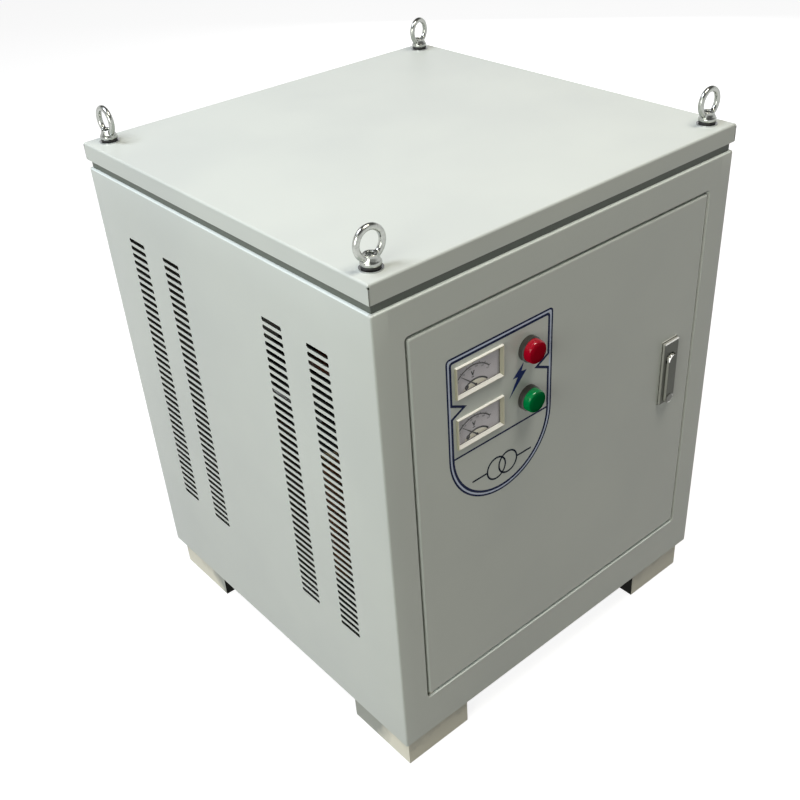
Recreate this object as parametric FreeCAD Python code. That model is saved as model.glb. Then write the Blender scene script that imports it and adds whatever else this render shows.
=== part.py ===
import FreeCAD, Part
import math
import os
from FreeCAD import Vector

# Floor-standing dry transformer cabinet, in millimetres, +Z up.
# The origin is on the floor at the middle of the cabinet; the door is on the -Y side.

# Driving dimensions of the cabinet
BODY_WIDTH = 550.0
BODY_DEPTH = 550.0
BODY_HEIGHT = 600.0
SHEET = 1.5
FOLD_RADIUS = 2.5
FLANGE = 20.0

FOOT_WIDTH = 100.0
FOOT_DEPTH = 108.0
FOOT_HEIGHT = 50.0
FOOT_INSET = 9.0
FOOT_SHEET = 3.0
FOOT_HOLE = 14.0
FOOT_ACCESS_HOLE = 26.0

TRAY_SHEET = 2.0
TRAY_RIM = 12.0
CABLE_HOLE = 40.0
CABLE_BORE = 28.0
CABLE_X = 70.0
CABLE_Y = 215.0

SLOT_LENGTH = 36.0
SLOT_HEIGHT = 5.5
SLOT_PITCH = 10.0
SLOT_ROWS = 40
SLOT_COLUMNS = (-182.0, -102.0, 104.0, 184.0)
SLOT_FIRST_HEIGHT = 136.0

LID_GAP = 10.5
LID_SKIRT = 21.5
COLLAR_INSET = 4.0
COLLAR_FLANGE = 35.0
CORNER_RELIEF = 1.6
CORNER_SEAM = 0.3

# Lifting eye nuts on the lid
EYE_INSET = 24.0
EYE_RING_RADIUS = 15.3
EYE_RING_SECTION = 3.5
EYE_HEIGHT = 39.5
EYE_COLLAR_RADIUS = 10.5
EYE_BOSS_RADIUS = 7.5
EYE_THREAD_RADIUS = 4.0
EYE_THREAD_GRIP = 7.0
FLAT_WASHER_RADIUS = 12.0
FLAT_WASHER_THICKNESS = 1.5
RUBBER_WASHER_RADIUS = 9.5
RUBBER_WASHER_THICKNESS = 3.0

# Door and its opening
OPENING_HALF_WIDTH = 237.0
OPENING_BOTTOM = 109.0
OPENING_TOP = 612.0
OPENING_CORNER = 5.0
OPENING_RETURN = 22.0
STOP_LIP = 10.0
DOOR_GAP = 3.0
DOOR_BOTTOM_GAP = 4.0
DOOR_DEPTH = 18.0
DOOR_CORNER = 3.5
DOOR_FOLD = 3.0
HINGE_FROM_EDGE = 6.0
HINGE_FROM_FACE = 6.0
HINGE_PIN_RADIUS = 2.5
HINGE_CLEARANCE = 0.05
HINGE_BLOCK = 12.0
HINGE_BLOCK_INSET = 0.7
HINGE_WASHER_RADIUS = 4.0

# Instruments in the door
METER_X = -141.7
METER_Z = (532.0, 469.0)
METER_WIDTH = 68.0
METER_HEIGHT = 38.0
METER_FLANGE = 3.0
METER_BODY_WIDTH = 63.6
METER_BODY_HEIGHT = 33.6
METER_WALL = 1.0
METER_DEPTH = 30.0
METER_OPENING_WIDTH = 60.0
METER_OPENING_HEIGHT = 30.0
METER_CAVITY_BACK = 2.1
METER_PIVOT_LEFT = 3.5
METER_PIVOT_DROP = 13.8
METER_REST_ANGLE = 50.0
NEEDLE_LENGTH = 27.0

LAMP_X = -69.0
LAMP_Z = (529.5, 467.0)
LAMP_BEZEL_RADIUS = 15.0
LAMP_BEZEL_HEIGHT = 6.5
LAMP_BEZEL_CHAMFER = 1.0
LAMP_LENS_RADIUS = 13.5
LAMP_LENS_TOP = 16.0
LAMP_BARREL_RADIUS = 11.0
LAMP_BARREL_DEPTH = 40.0

# Lock with a folding lever
LOCK_X = 185.3
LOCK_WIDTH = 28.0
LOCK_BOTTOM = 342.0
LOCK_TOP = 432.0
LOCK_PLATE_HEIGHT = 4.5
SPINDLE_Z = 406.0
SPINDLE_RADIUS = 5.0
POCKET_RADIUS = 9.5
POCKET_FLOOR = 0.8
SPINDLE_HEAD = 1.0
LEVER_HALF_WIDTH = 7.2
LEVER_BACK = 4.8
LEVER_FACE = 8.0
LEVER_PIN_Z = 407.5
LEVER_PIN_OUT = 3.8
LEVER_PIN_RADIUS = 1.25
LEVER_EAR_RADIUS = 2.4
BUTTON_RADIUS = 6.1
BUTTON_BACK = 6.4
BUTTON_FACE = 8.8
CAM_BEHIND = 23.5
CAM_THICKNESS = 3.0
CAM_WIDTH = 16.0
CAM_REACH = 47.0
LOCK_BODY_WIDTH = 22.0
LOCK_BODY_BOTTOM = 362.0
LOCK_BODY_TOP = 426.0
LOCK_BODY_DEPTH = 16.0

# Three-limb core, its clamps and windings
LIMB_WIDTH = 70.0
LIMB_PITCH = 155.0
STACK_DEPTH = 110.0
YOKE_HEIGHT = 70.0
WINDOW_HEIGHT = 210.0
RAIL_X = 140.0
RAIL_WIDTH = 40.0
RAIL_HEIGHT = 20.0
RAIL_LENGTH = 470.0
RAIL_SHEET = 3.0
CORE_LIFT = 10.0
BEAM_HALF_LENGTH = 215.0
BEAM_HEIGHT = 70.0
BEAM_FLANGE = 30.0
BEAM_SHEET = 4.0
CLAMP_STUD_X = 203.0
CLAMP_STUD_RADIUS = 5.0
WINDING_HEIGHT = 180.0
INNER_BORE_GAP = 3.0
INNER_THICKNESS = 12.0
DUCT = 3.0
BARRIER_THICKNESS = 2.0
OUTER_THICKNESS = 18.0
BARRIER_OVERRUN = 7.0
BOARD_WIDTH = 400.0
BOARD_DEPTH = 54.0
BOARD_THICKNESS = 10.0
BOARD_LIFT = 34.0
POST_RADIUS = 8.0
POST_X = (-98.0, 98.0)
LEAD_OFFSET = 25.0
LEAD_WIDTH = 16.0
LEAD_THICKNESS = 3.0
TERMINAL_RADIUS = 4.0

FRONT = -BODY_DEPTH / 2
REAR = BODY_DEPTH / 2
SIDE = BODY_WIDTH / 2
BASE = FOOT_HEIGHT
FOOT_MIDDLE_X = SIDE - FOOT_INSET - FOOT_WIDTH / 2
FOOT_MIDDLE_Y = SIDE - FOOT_INSET - FOOT_DEPTH / 2
TOP = BASE + BODY_HEIGHT
LID_BOTTOM = TOP + LID_GAP
LID_TOP = LID_BOTTOM + LID_SKIRT
REAR_FLANGE_FACE = REAR - SHEET
SCREW_X = SIDE - FLANGE / 2
SCREW_HEIGHTS = (BASE + 45, BASE + 215, BASE + 385, BASE + 555)
SCREW_RADIUS = 2.5
SCREW_HEAD_RADIUS = 5.0
LIMBS = (-LIMB_PITCH, 0.0, LIMB_PITCH)
HINGE_X = -OPENING_HALF_WIDTH + DOOR_GAP + HINGE_FROM_EDGE
HINGE_Y = FRONT + HINGE_FROM_FACE
RAIL_TOP = BASE + TRAY_SHEET + RAIL_HEIGHT
CORE_BOTTOM = RAIL_TOP + CORE_LIFT
WINDOW_BOTTOM = CORE_BOTTOM + YOKE_HEIGHT
WINDOW_TOP = WINDOW_BOTTOM + WINDOW_HEIGHT
CORE_TOP = WINDOW_TOP + YOKE_HEIGHT
WINDING_BOTTOM = WINDOW_BOTTOM + (WINDOW_HEIGHT - WINDING_HEIGHT) / 2
WINDING_TOP = WINDING_BOTTOM + WINDING_HEIGHT
LOWER_BEAM_BOTTOM = RAIL_TOP
UPPER_BEAM_BOTTOM = CORE_TOP + 5.0 - BEAM_HEIGHT
UPPER_BEAM_TOP = UPPER_BEAM_BOTTOM + BEAM_HEIGHT
BOARD_BOTTOM = UPPER_BEAM_TOP + BOARD_LIFT
BOARD_TOP = BOARD_BOTTOM + BOARD_THICKNESS

NODES = []


def save(node, shape):
    """Write one node, after checking that it is made of closed solids."""
    if not shape.Solids or not shape.isValid():
        raise ValueError("not a valid solid: " + node)
    NODES.append(node)
    shape.exportStep("parts/" + node + ".step")


def box(x0, x1, y0, y1, z0, z1):
    return Part.makeBox(x1 - x0, y1 - y0, z1 - z0, Vector(x0, y0, z0))


def rod_x(y, z, radius, x0, x1):
    return Part.makeCylinder(radius, x1 - x0, Vector(x0, y, z), Vector(1, 0, 0))


def rod_y(x, z, radius, y0, y1):
    return Part.makeCylinder(radius, y1 - y0, Vector(x, y0, z), Vector(0, 1, 0))


def rod_z(x, y, radius, z0, z1):
    return Part.makeCylinder(radius, z1 - z0, Vector(x, y, z0), Vector(0, 0, 1))


def out(proud):
    """The Y of a plane that stands proud of the door's face by so many millimetres."""
    return FRONT - proud


def rounded_outline(x0, x1, z0, z1, radius, y):
    """A closed rectangle with round corners in the plane at y."""
    centres = ((x1 - radius, z1 - radius, 0), (x0 + radius, z1 - radius, 90),
               (x0 + radius, z0 + radius, 180), (x1 - radius, z0 + radius, 270))
    edges = []
    corners = []
    for cx, cz, start in centres:
        angles = [math.radians(start + turn) for turn in (0, 45, 90)]
        corners.append([Vector(cx + radius * math.cos(a), y, cz + radius * math.sin(a)) for a in angles])
    for index, corner in enumerate(corners):
        edges.append(Part.Arc(*corner).toShape())
        edges.append(Part.LineSegment(corner[2], corners[(index + 1) % 4][0]).toShape())
    return Part.Wire(edges)


def rounded_block(x0, x1, z0, z1, radius, y0, y1):
    """A block along Y with round corners."""
    return Part.Face(rounded_outline(x0, x1, z0, z1, radius, y0)).extrude(Vector(0, y1 - y0, 0))


def rounded_tube(half_x, half_y, radius, wall, x, z0, z1):
    """An upright tube round a limb: outer half sizes, outer corner radius and wall."""
    outer = rounded_block(x - half_x, x + half_x, -half_y, half_y, radius, z0, z1)
    inner = rounded_block(x - half_x + wall, x + half_x - wall, -half_y + wall, half_y - wall,
                          max(radius - wall, 1.0), z0 - 1, z1 + 1)
    tube = outer.cut(inner)
    tube.rotate(Vector(0, 0, 0), Vector(1, 0, 0), 90)
    return tube


def edges_where(shape, test):
    """The edges whose every vertex passes the test."""
    return [edge for edge in shape.Edges if all(test(v.Point) for v in edge.Vertexes)]


def near(a, b):
    return abs(a - b) < 0.01


def hexagon(across_flats, x, y, z0, z1):
    """A hexagon nut or head along Z."""
    corner = across_flats / 2 / math.cos(math.radians(30))
    points = [Vector(x + corner * math.cos(math.radians(60 * k)),
                     y + corner * math.sin(math.radians(60 * k)), z0) for k in range(7)]
    return Part.Face(Part.makePolygon(points)).extrude(Vector(0, 0, z1 - z0))


def hexagon_y(across_flats, x, z, y0, y1):
    """A hexagon nut along Y."""
    nut = hexagon(across_flats, 0, 0, 0, y1 - y0)
    nut.rotate(Vector(0, 0, 0), Vector(1, 0, 0), -90)
    nut.translate(Vector(x, y0, z))
    return nut


def corner_signs():
    return ((-1, -1, "front_left"), (1, -1, "front_right"), (-1, 1, "rear_left"), (1, 1, "rear_right"))


def make_feet():
    """Four welded box feet, open at the top under the base tray."""
    high = SIDE - FOOT_INSET
    low_x = high - FOOT_WIDTH
    low_y = high - FOOT_DEPTH
    for sx, sy, corner in corner_signs():
        foot = box(low_x, high, low_y, high, 0, FOOT_HEIGHT)
        foot = foot.makeFillet(FOLD_RADIUS, edges_where(foot, lambda p: near(p.z, 0)))
        inside = box(low_x + FOOT_SHEET, high - FOOT_SHEET, low_y + FOOT_SHEET, high - FOOT_SHEET,
                     FOOT_SHEET, FOOT_HEIGHT + 1)
        foot = foot.cut(inside).cut(rod_z(FOOT_MIDDLE_X, FOOT_MIDDLE_Y, FOOT_HOLE / 2, -1, FOOT_SHEET + 1))
        if sx < 0:
            foot = foot.mirror(Vector(0, 0, 0), Vector(1, 0, 0))
        if sy < 0:
            foot = foot.mirror(Vector(0, 0, 0), Vector(0, 1, 0))
        save("foot_" + corner, foot)


def make_base_tray():
    """The folded bottom: a tray with its rim turned up inside the side sheets."""
    half = SIDE - SHEET
    tray = box(-half, half, FRONT + SHEET, REAR_FLANGE_FACE - SHEET, BASE, BASE + TRAY_RIM)
    tray = tray.cut(box(-half + TRAY_SHEET, half - TRAY_SHEET, FRONT + SHEET + TRAY_SHEET,
                        REAR_FLANGE_FACE - SHEET - TRAY_SHEET, BASE + TRAY_SHEET, BASE + TRAY_RIM + 1))
    for sx, sy, corner in corner_signs():
        access = rod_z(sx * FOOT_MIDDLE_X, sy * FOOT_MIDDLE_Y, FOOT_ACCESS_HOLE / 2, BASE - 1, BASE + 5)
        tray = tray.cut(access)
    for x in (-CABLE_X, CABLE_X):
        tray = tray.cut(rod_z(x, CABLE_Y, CABLE_HOLE / 2, BASE - 1, BASE + 5))
    save("base_tray", tray)


def make_cable_grommets():
    """Rubber grommets in the two cable holes of the tray."""
    groove = CABLE_HOLE / 2
    outline = ((CABLE_BORE / 2, -4), (groove + 3, -4), (groove + 3, 0), (groove, 0),
               (groove, TRAY_SHEET), (groove + 3, TRAY_SHEET), (groove + 3, 6), (CABLE_BORE / 2, 6))
    points = [Vector(r, 0, BASE + z) for r, z in outline]
    ring = Part.Face(Part.makePolygon(points + points[:1])).revolve(Vector(0, 0, 0), Vector(0, 0, 1), 360)
    rings = []
    for x in (-CABLE_X, CABLE_X):
        copy = ring.copy()
        copy.translate(Vector(x, CABLE_Y, 0))
        rings.append(copy)
    save("cable_grommets", Part.makeCompound(rings))


def make_side_panels():
    """The vented sides: a pan folded in at the front, rear and top, with four columns of slots."""
    pan = box(-SIDE, -SIDE + FLANGE, FRONT, REAR_FLANGE_FACE, BASE, TOP)
    folds = edges_where(pan, lambda p: near(p.x, -SIDE) and (near(p.y, FRONT) or near(p.y, REAR_FLANGE_FACE)))
    folds = [edge for edge in folds if edge.Length > BODY_HEIGHT / 2]
    folds += edges_where(pan, lambda p: near(p.x, -SIDE) and near(p.z, TOP))
    front_corner = edges_where(pan, lambda p: near(p.y, FRONT) and near(p.z, TOP))
    pan = pan.makeFillet(FOLD_RADIUS, unique(folds + front_corner))
    pan = pan.cut(box(-SIDE + SHEET, -SIDE + FLANGE + 1, FRONT + SHEET, REAR_FLANGE_FACE - SHEET,
                      BASE - 1, TOP - SHEET))
    slots = []
    for y in SLOT_COLUMNS:
        for row in range(SLOT_ROWS):
            z = BASE + SLOT_FIRST_HEIGHT + row * SLOT_PITCH
            slots.append(box(-SIDE - 1, -SIDE + SHEET + 1, y - SLOT_LENGTH / 2, y + SLOT_LENGTH / 2,
                             z - SLOT_HEIGHT / 2, z + SLOT_HEIGHT / 2))
    for z in SCREW_HEIGHTS:
        slots.append(rod_y(-SCREW_X, z, SCREW_RADIUS, REAR_FLANGE_FACE - 3, REAR_FLANGE_FACE + 1))
    pan = pan.cut(Part.makeCompound(slots))
    save("side_panel_left", pan)
    save("side_panel_right", pan.mirror(Vector(0, 0, 0), Vector(1, 0, 0)))


def unique(edges):
    """The edges without repeats."""
    kept = []
    for edge in edges:
        if not any(edge.isSame(other) for other in kept):
            kept.append(edge)
    return kept


def make_rear_panel():
    """The removable back: a flat sheet over the side flanges, folded in at the top."""
    half = SIDE - 2
    low = BASE + 2
    panel = box(-half, half, REAR_FLANGE_FACE, REAR, low, TOP - 2)
    shelf = box(-SIDE + FLANGE, SIDE - FLANGE, REAR - FLANGE, REAR, TOP - SHEET, TOP)
    neck = box(-SIDE + FLANGE, SIDE - FLANGE, REAR_FLANGE_FACE, REAR, TOP - 2, TOP)
    panel = panel.fuse([shelf, neck]).removeSplitter()
    screws = []
    for x in (-SCREW_X, SCREW_X):
        for z in SCREW_HEIGHTS:
            panel = panel.cut(rod_y(x, z, SCREW_RADIUS + 0.25, REAR - 3, REAR + 1))
            rim = rod_y(x, z, SCREW_HEAD_RADIUS, REAR, REAR + 1.4)
            head = Part.makeCone(SCREW_HEAD_RADIUS, SCREW_HEAD_RADIUS - 1.4, 1.6, Vector(x, REAR + 1.4, z),
                                 Vector(0, 1, 0))
            screws.append(head.fuse([rim, rod_y(x, z, SCREW_RADIUS, REAR - 8, REAR)]).removeSplitter())
    save("rear_panel", panel)
    return screws


def frame_opening(grow, y0, y1):
    """The door opening as a block, larger by grow on every side."""
    return rounded_block(-OPENING_HALF_WIDTH - grow, OPENING_HALF_WIDTH + grow, OPENING_BOTTOM - grow,
                         OPENING_TOP + grow, OPENING_CORNER + grow, y0, y1)


def make_front_frame():
    """The front sheet with its door opening, folded back and in again as a stop for the door."""
    half = SIDE - FLANGE
    sheet = box(-half, half, FRONT, FRONT + FLANGE, BASE, TOP)
    sheet = sheet.makeFillet(FOLD_RADIUS, edges_where(sheet, lambda p: near(p.y, FRONT) and near(p.z, TOP)))
    sheet = sheet.cut(box(-half - 1, half + 1, FRONT + SHEET, FRONT + FLANGE + 1, BASE - 1, TOP - SHEET))
    back = FRONT + OPENING_RETURN
    hem = frame_opening(SHEET, FRONT + SHEET, back)
    frame = sheet.fuse(hem).cut(frame_opening(0, FRONT - 1, back - SHEET))
    window = rounded_block(-OPENING_HALF_WIDTH + STOP_LIP, OPENING_HALF_WIDTH - STOP_LIP,
                           OPENING_BOTTOM + STOP_LIP, OPENING_TOP - STOP_LIP, 2.0, FRONT - 1, back + 1)
    frame = frame.cut(window).removeSplitter()
    rim = edges_where(frame, lambda p: near(p.y, FRONT) and abs(p.x) <= OPENING_HALF_WIDTH + 0.01
                      and OPENING_BOTTOM - 0.01 <= p.z <= OPENING_TOP + 0.01)
    frame = frame.makeFillet(1.2, rim)
    for z0, z1 in ((OPENING_TOP - 1, OPENING_TOP + 3), (OPENING_BOTTOM - 3, OPENING_BOTTOM + 1)):
        frame = frame.cut(rod_z(HINGE_X, HINGE_Y, HINGE_PIN_RADIUS + 0.3, z0, z1))
    save("front_frame", frame)


def make_lid():
    """The collar welded on the cabinet's top flanges and the tray lid that rests on it."""
    outer = SIDE - COLLAR_INSET
    lid_under = LID_TOP - SHEET
    collar = box(-outer, outer, -outer, outer, TOP, lid_under)
    wall = outer - SHEET
    collar = collar.cut(box(-wall, wall, -wall, wall, TOP + SHEET, lid_under - SHEET))
    inner = outer - COLLAR_FLANGE
    collar = collar.cut(box(-inner, inner, -inner, inner, TOP - 1, LID_TOP))
    lid = box(-SIDE, SIDE, FRONT, REAR, LID_BOTTOM, LID_TOP)
    lid = lid.makeFillet(FOLD_RADIUS, edges_where(lid, lambda p: near(p.z, LID_TOP)))
    upright = [edge for edge in lid.Edges if near(abs(edge.tangentAt(edge.FirstParameter).z), 1.0)
               and near(edge.BoundBox.ZMin, LID_BOTTOM)]
    lid = lid.makeFillet(1.0, upright)
    lid = lid.cut(box(-SIDE + SHEET, SIDE - SHEET, FRONT + SHEET, REAR - SHEET, LID_BOTTOM - 1, lid_under))
    for sx, sy, corner in corner_signs():
        x = sx * (SIDE - EYE_INSET)
        y = sy * (SIDE - EYE_INSET)
        stud_hole = rod_z(x, y, EYE_THREAD_RADIUS + 0.25, LID_BOTTOM, LID_TOP + 1)
        collar = collar.cut(stud_hole)
        lid = lid.cut(stud_hole)
        relief = box(-CORNER_RELIEF, CORNER_RELIEF, -CORNER_RELIEF, CORNER_RELIEF, 0, 2.6)
        relief.translate(Vector(sx * SIDE, sy * SIDE, LID_TOP - FOLD_RADIUS - 2.2))
        side_face = SIDE - SHEET
        seam_x = sorted((sx * (side_face - CORNER_SEAM), sx * side_face))
        seam_y = sorted((sy * (side_face - 0.5), sy * (SIDE + 1)))
        seam = box(*seam_x, *seam_y, LID_BOTTOM - 1, LID_TOP - FOLD_RADIUS)
        lid = lid.cut(relief).cut(seam)
    save("lid_collar", collar)
    save("top_cover", lid)


def eye_nut(x, y, seat, turn):
    """A lifting eye nut: ring, flared neck, round collar and a tapped hole from below."""
    centre = EYE_HEIGHT - EYE_RING_RADIUS - EYE_RING_SECTION
    ring = Part.makeTorus(EYE_RING_RADIUS, EYE_RING_SECTION, Vector(0, 0, centre), Vector(0, 1, 0))
    collar = rod_z(0, 0, EYE_COLLAR_RADIUS, 0, 3.5)
    neck = Part.makeCone(EYE_COLLAR_RADIUS - 0.5, EYE_BOSS_RADIUS, 5.0, Vector(0, 0, 3.5), Vector(0, 0, 1))
    boss = rod_z(0, 0, EYE_BOSS_RADIUS, 8.5, centre - EYE_RING_RADIUS + EYE_RING_SECTION + 2.0)
    nut = ring.fuse([collar, neck, boss]).removeSplitter()
    nut = nut.cut(rod_z(0, 0, EYE_THREAD_RADIUS + 0.05, -1, centre))
    nut.rotate(Vector(0, 0, 0), Vector(0, 0, 1), turn)
    nut.translate(Vector(x, y, seat))
    return nut


def washer(x, y, z, radius, bore, thickness):
    return rod_z(x, y, radius, z, z + thickness).cut(rod_z(x, y, bore, z - 1, z + thickness + 1))


def make_lifting_eyes():
    """Four eye nuts on studs through the lid and collar, each over a rubber and a flat washer."""
    turns = {"front_left": 0.0, "front_right": 0.0, "rear_left": 90.0, "rear_right": 13.0}
    flats = []
    rubbers = []
    studs = []
    for sx, sy, corner in corner_signs():
        x = sx * (SIDE - EYE_INSET)
        y = sy * (SIDE - EYE_INSET)
        rubber_seat = LID_TOP + FLAT_WASHER_THICKNESS
        seat = rubber_seat + RUBBER_WASHER_THICKNESS
        flats.append(washer(x, y, LID_TOP, FLAT_WASHER_RADIUS, EYE_THREAD_RADIUS + 0.2,
                            FLAT_WASHER_THICKNESS))
        rubbers.append(washer(x, y, rubber_seat, RUBBER_WASHER_RADIUS, EYE_THREAD_RADIUS + 0.2,
                              RUBBER_WASHER_THICKNESS))
        flange_under = LID_TOP - 2 * SHEET
        head = hexagon(13.0, x, y, flange_under - 5.5, flange_under)
        studs.append(head.fuse(rod_z(x, y, EYE_THREAD_RADIUS, flange_under, seat + EYE_THREAD_GRIP)))
        save("eye_nut_" + corner, eye_nut(x, y, seat, turns[corner]))
    save("flat_washers", Part.makeCompound(flats))
    save("rubber_washers", Part.makeCompound(rubbers))
    save("lifting_studs", Part.makeCompound(studs))


def make_hinge():
    """Two hidden corner hinges at the door's left edge: lugs, pins, a thrust washer and the door's blocks."""
    lugs = []
    pins = []
    blocks = []
    left = -OPENING_HALF_WIDTH
    door_left = left + DOOR_GAP + SHEET + HINGE_BLOCK_INSET
    levels = ((OPENING_TOP, 1, DOOR_GAP), (OPENING_BOTTOM, -1, DOOR_BOTTOM_GAP))
    for edge, up, gap in levels:
        lug_z = sorted((edge + up * SHEET, edge + up * (SHEET + HINGE_BLOCK)))
        lug = box(left, left + 16, FRONT + SHEET, FRONT + SHEET + 14, *lug_z)
        lugs.append(lug.cut(rod_z(HINGE_X, HINGE_Y, HINGE_PIN_RADIUS, lug_z[0] - 1, lug_z[1] + 1)))
        pin_z = sorted((edge + up * (SHEET + HINGE_BLOCK), edge - up * (gap + SHEET + HINGE_BLOCK)))
        pins.append(rod_z(HINGE_X, HINGE_Y, HINGE_PIN_RADIUS, *pin_z))
        block_z = sorted((edge - up * (gap + SHEET + HINGE_BLOCK_INSET),
                          edge - up * (gap + SHEET + HINGE_BLOCK)))
        block = box(door_left, door_left + 13, FRONT + SHEET, FRONT + SHEET + 12, *block_z)
        bore = rod_z(HINGE_X, HINGE_Y, HINGE_PIN_RADIUS + HINGE_CLEARANCE, block_z[0] - 1, block_z[1] + 1)
        blocks.append(block.cut(bore))
    save("hinge_lugs", Part.makeCompound(lugs))
    save("hinge_pins", Part.makeCompound(pins))
    save("door_hinge_blocks", Part.makeCompound(blocks))
    save("hinge_washer", washer(HINGE_X, HINGE_Y, OPENING_BOTTOM, HINGE_WASHER_RADIUS,
                                HINGE_PIN_RADIUS + 0.2, DOOR_BOTTOM_GAP - 0.3))


def make_door():
    """The inset door: a pan with round corners and cut-outs for the instruments and the lock."""
    x1 = OPENING_HALF_WIDTH - DOOR_GAP
    z0 = OPENING_BOTTOM + DOOR_BOTTOM_GAP
    z1 = OPENING_TOP - DOOR_GAP
    pan = rounded_block(-x1, x1, z0, z1, DOOR_CORNER, FRONT, FRONT + DOOR_DEPTH)
    pan = pan.makeFillet(DOOR_FOLD, edges_where(pan, lambda p: near(p.y, FRONT)))
    pan = pan.cut(rounded_block(-x1 + SHEET, x1 - SHEET, z0 + SHEET, z1 - SHEET, DOOR_CORNER - SHEET,
                                FRONT + SHEET, FRONT + DOOR_DEPTH + 1))
    behind = FRONT + SHEET + 1
    for z in METER_Z:
        half_width = METER_BODY_WIDTH / 2 + 0.2
        half_height = METER_BODY_HEIGHT / 2 + 0.2
        pan = pan.cut(box(METER_X - half_width, METER_X + half_width, FRONT - 1, behind,
                          z - half_height, z + half_height))
    for z in LAMP_Z:
        pan = pan.cut(rod_y(LAMP_X, z, LAMP_BARREL_RADIUS + 0.15, FRONT - 1, behind))
    lock_half = LOCK_BODY_WIDTH / 2 + 0.3
    pan = pan.cut(box(LOCK_X - lock_half, LOCK_X + lock_half, FRONT - 1, behind,
                      LOCK_BODY_BOTTOM - 0.3, LOCK_BODY_TOP + 0.3))
    pan = pan.cut(rod_z(HINGE_X, HINGE_Y, HINGE_PIN_RADIUS + 0.5, z0 - 1, z1 + 1))
    save("door_panel", pan)


def frustum(x, z, width_out, height_out, proud_out, width_in, height_in, proud_in):
    """The space between a rectangle nearer the viewer and a smaller one behind it."""
    wires = []
    for width, height, proud in ((width_out, height_out, proud_out), (width_in, height_in, proud_in)):
        y = out(proud)
        points = [Vector(x - width / 2, y, z - height / 2), Vector(x + width / 2, y, z - height / 2),
                  Vector(x + width / 2, y, z + height / 2), Vector(x - width / 2, y, z + height / 2)]
        wires.append(Part.makePolygon(points + points[:1]))
    return Part.makeLoft(wires, True, True)


def make_meters():
    """Two moving-iron voltmeters: case with a bevelled rim, dial plate, window and needle."""
    cavity_width = METER_BODY_WIDTH - 2 * METER_WALL
    cavity_height = METER_BODY_HEIGHT - 2 * METER_WALL
    x0 = METER_X - cavity_width / 2
    x1 = METER_X + cavity_width / 2
    pivot_x = METER_X - METER_PIVOT_LEFT
    back = METER_CAVITY_BACK
    dials = []
    windows = []
    for z, level in zip(METER_Z, ("upper", "lower")):
        pivot_z = z - METER_PIVOT_DROP
        z0 = z - cavity_height / 2
        z1 = z + cavity_height / 2
        rim = box(METER_X - METER_WIDTH / 2, METER_X + METER_WIDTH / 2, out(METER_FLANGE), FRONT,
                  z - METER_HEIGHT / 2, z + METER_HEIGHT / 2)
        rim = rim.makeFillet(0.5, edges_where(rim, lambda p: near(p.y, out(METER_FLANGE))))
        body = box(METER_X - METER_BODY_WIDTH / 2, METER_X + METER_BODY_WIDTH / 2, FRONT,
                   out(-METER_DEPTH), z - METER_BODY_HEIGHT / 2, z + METER_BODY_HEIGHT / 2)
        case = rim.fuse(body).removeSplitter()
        case = case.cut(frustum(METER_X, z, METER_WIDTH - 1.6, METER_HEIGHT - 1.6, METER_FLANGE + 0.01,
                                METER_OPENING_WIDTH, METER_OPENING_HEIGHT, -0.1))
        case = case.cut(box(x0, x1, out(-0.1), out(-back), z0, z1))
        case = case.cut(rod_y(pivot_x, pivot_z, 1.05, out(0), out(-back - 10)))
        save("meter_case_" + level, case)
        plate = box(x0, x1, out(0.6 - back), out(-back), z0, z1)
        dials.append(plate.cut(rod_y(pivot_x, pivot_z, 1.5, FRONT, out(-back - 1))))
        windows.append(box(x0, x1, out(-0.1), out(-0.6), z0, z1))
        save("meter_pointer_" + level, pointer(pivot_x, pivot_z))
    save("meter_dials", Part.makeCompound(dials))
    save("meter_windows", Part.makeCompound(windows))


def pointer(x, z):
    """A needle on its arbor, lying at the left end of the scale."""
    tip = 0.3
    root = 0.9
    outline = [Vector(x - root, out(-1.2), z), Vector(x + root, out(-1.2), z),
               Vector(x + tip, out(-1.2), z + NEEDLE_LENGTH), Vector(x - tip, out(-1.2), z + NEEDLE_LENGTH)]
    needle = Part.Face(Part.makePolygon(outline + outline[:1])).extrude(Vector(0, -0.3, 0))
    hub = rod_y(x, z, 1.5, out(-0.9), out(-1.2))
    arbor = rod_y(x, z, 1.0, out(-1.2), out(-METER_CAVITY_BACK - 8))
    whole = needle.fuse([hub, arbor]).removeSplitter()
    whole.rotate(Vector(x, FRONT, z), Vector(0, 1, 0), -METER_REST_ANGLE)
    return whole


def turned(profile, x, z):
    """A body of revolution about the Y line through x, z; the profile is (radius, proud)."""
    points = [Vector(x + radius, out(proud), z) for radius, proud in profile]
    face = Part.Face(Part.makePolygon(points + points[:1]))
    return face.revolve(Vector(x, FRONT, z), Vector(0, 1, 0), 360)


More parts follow.
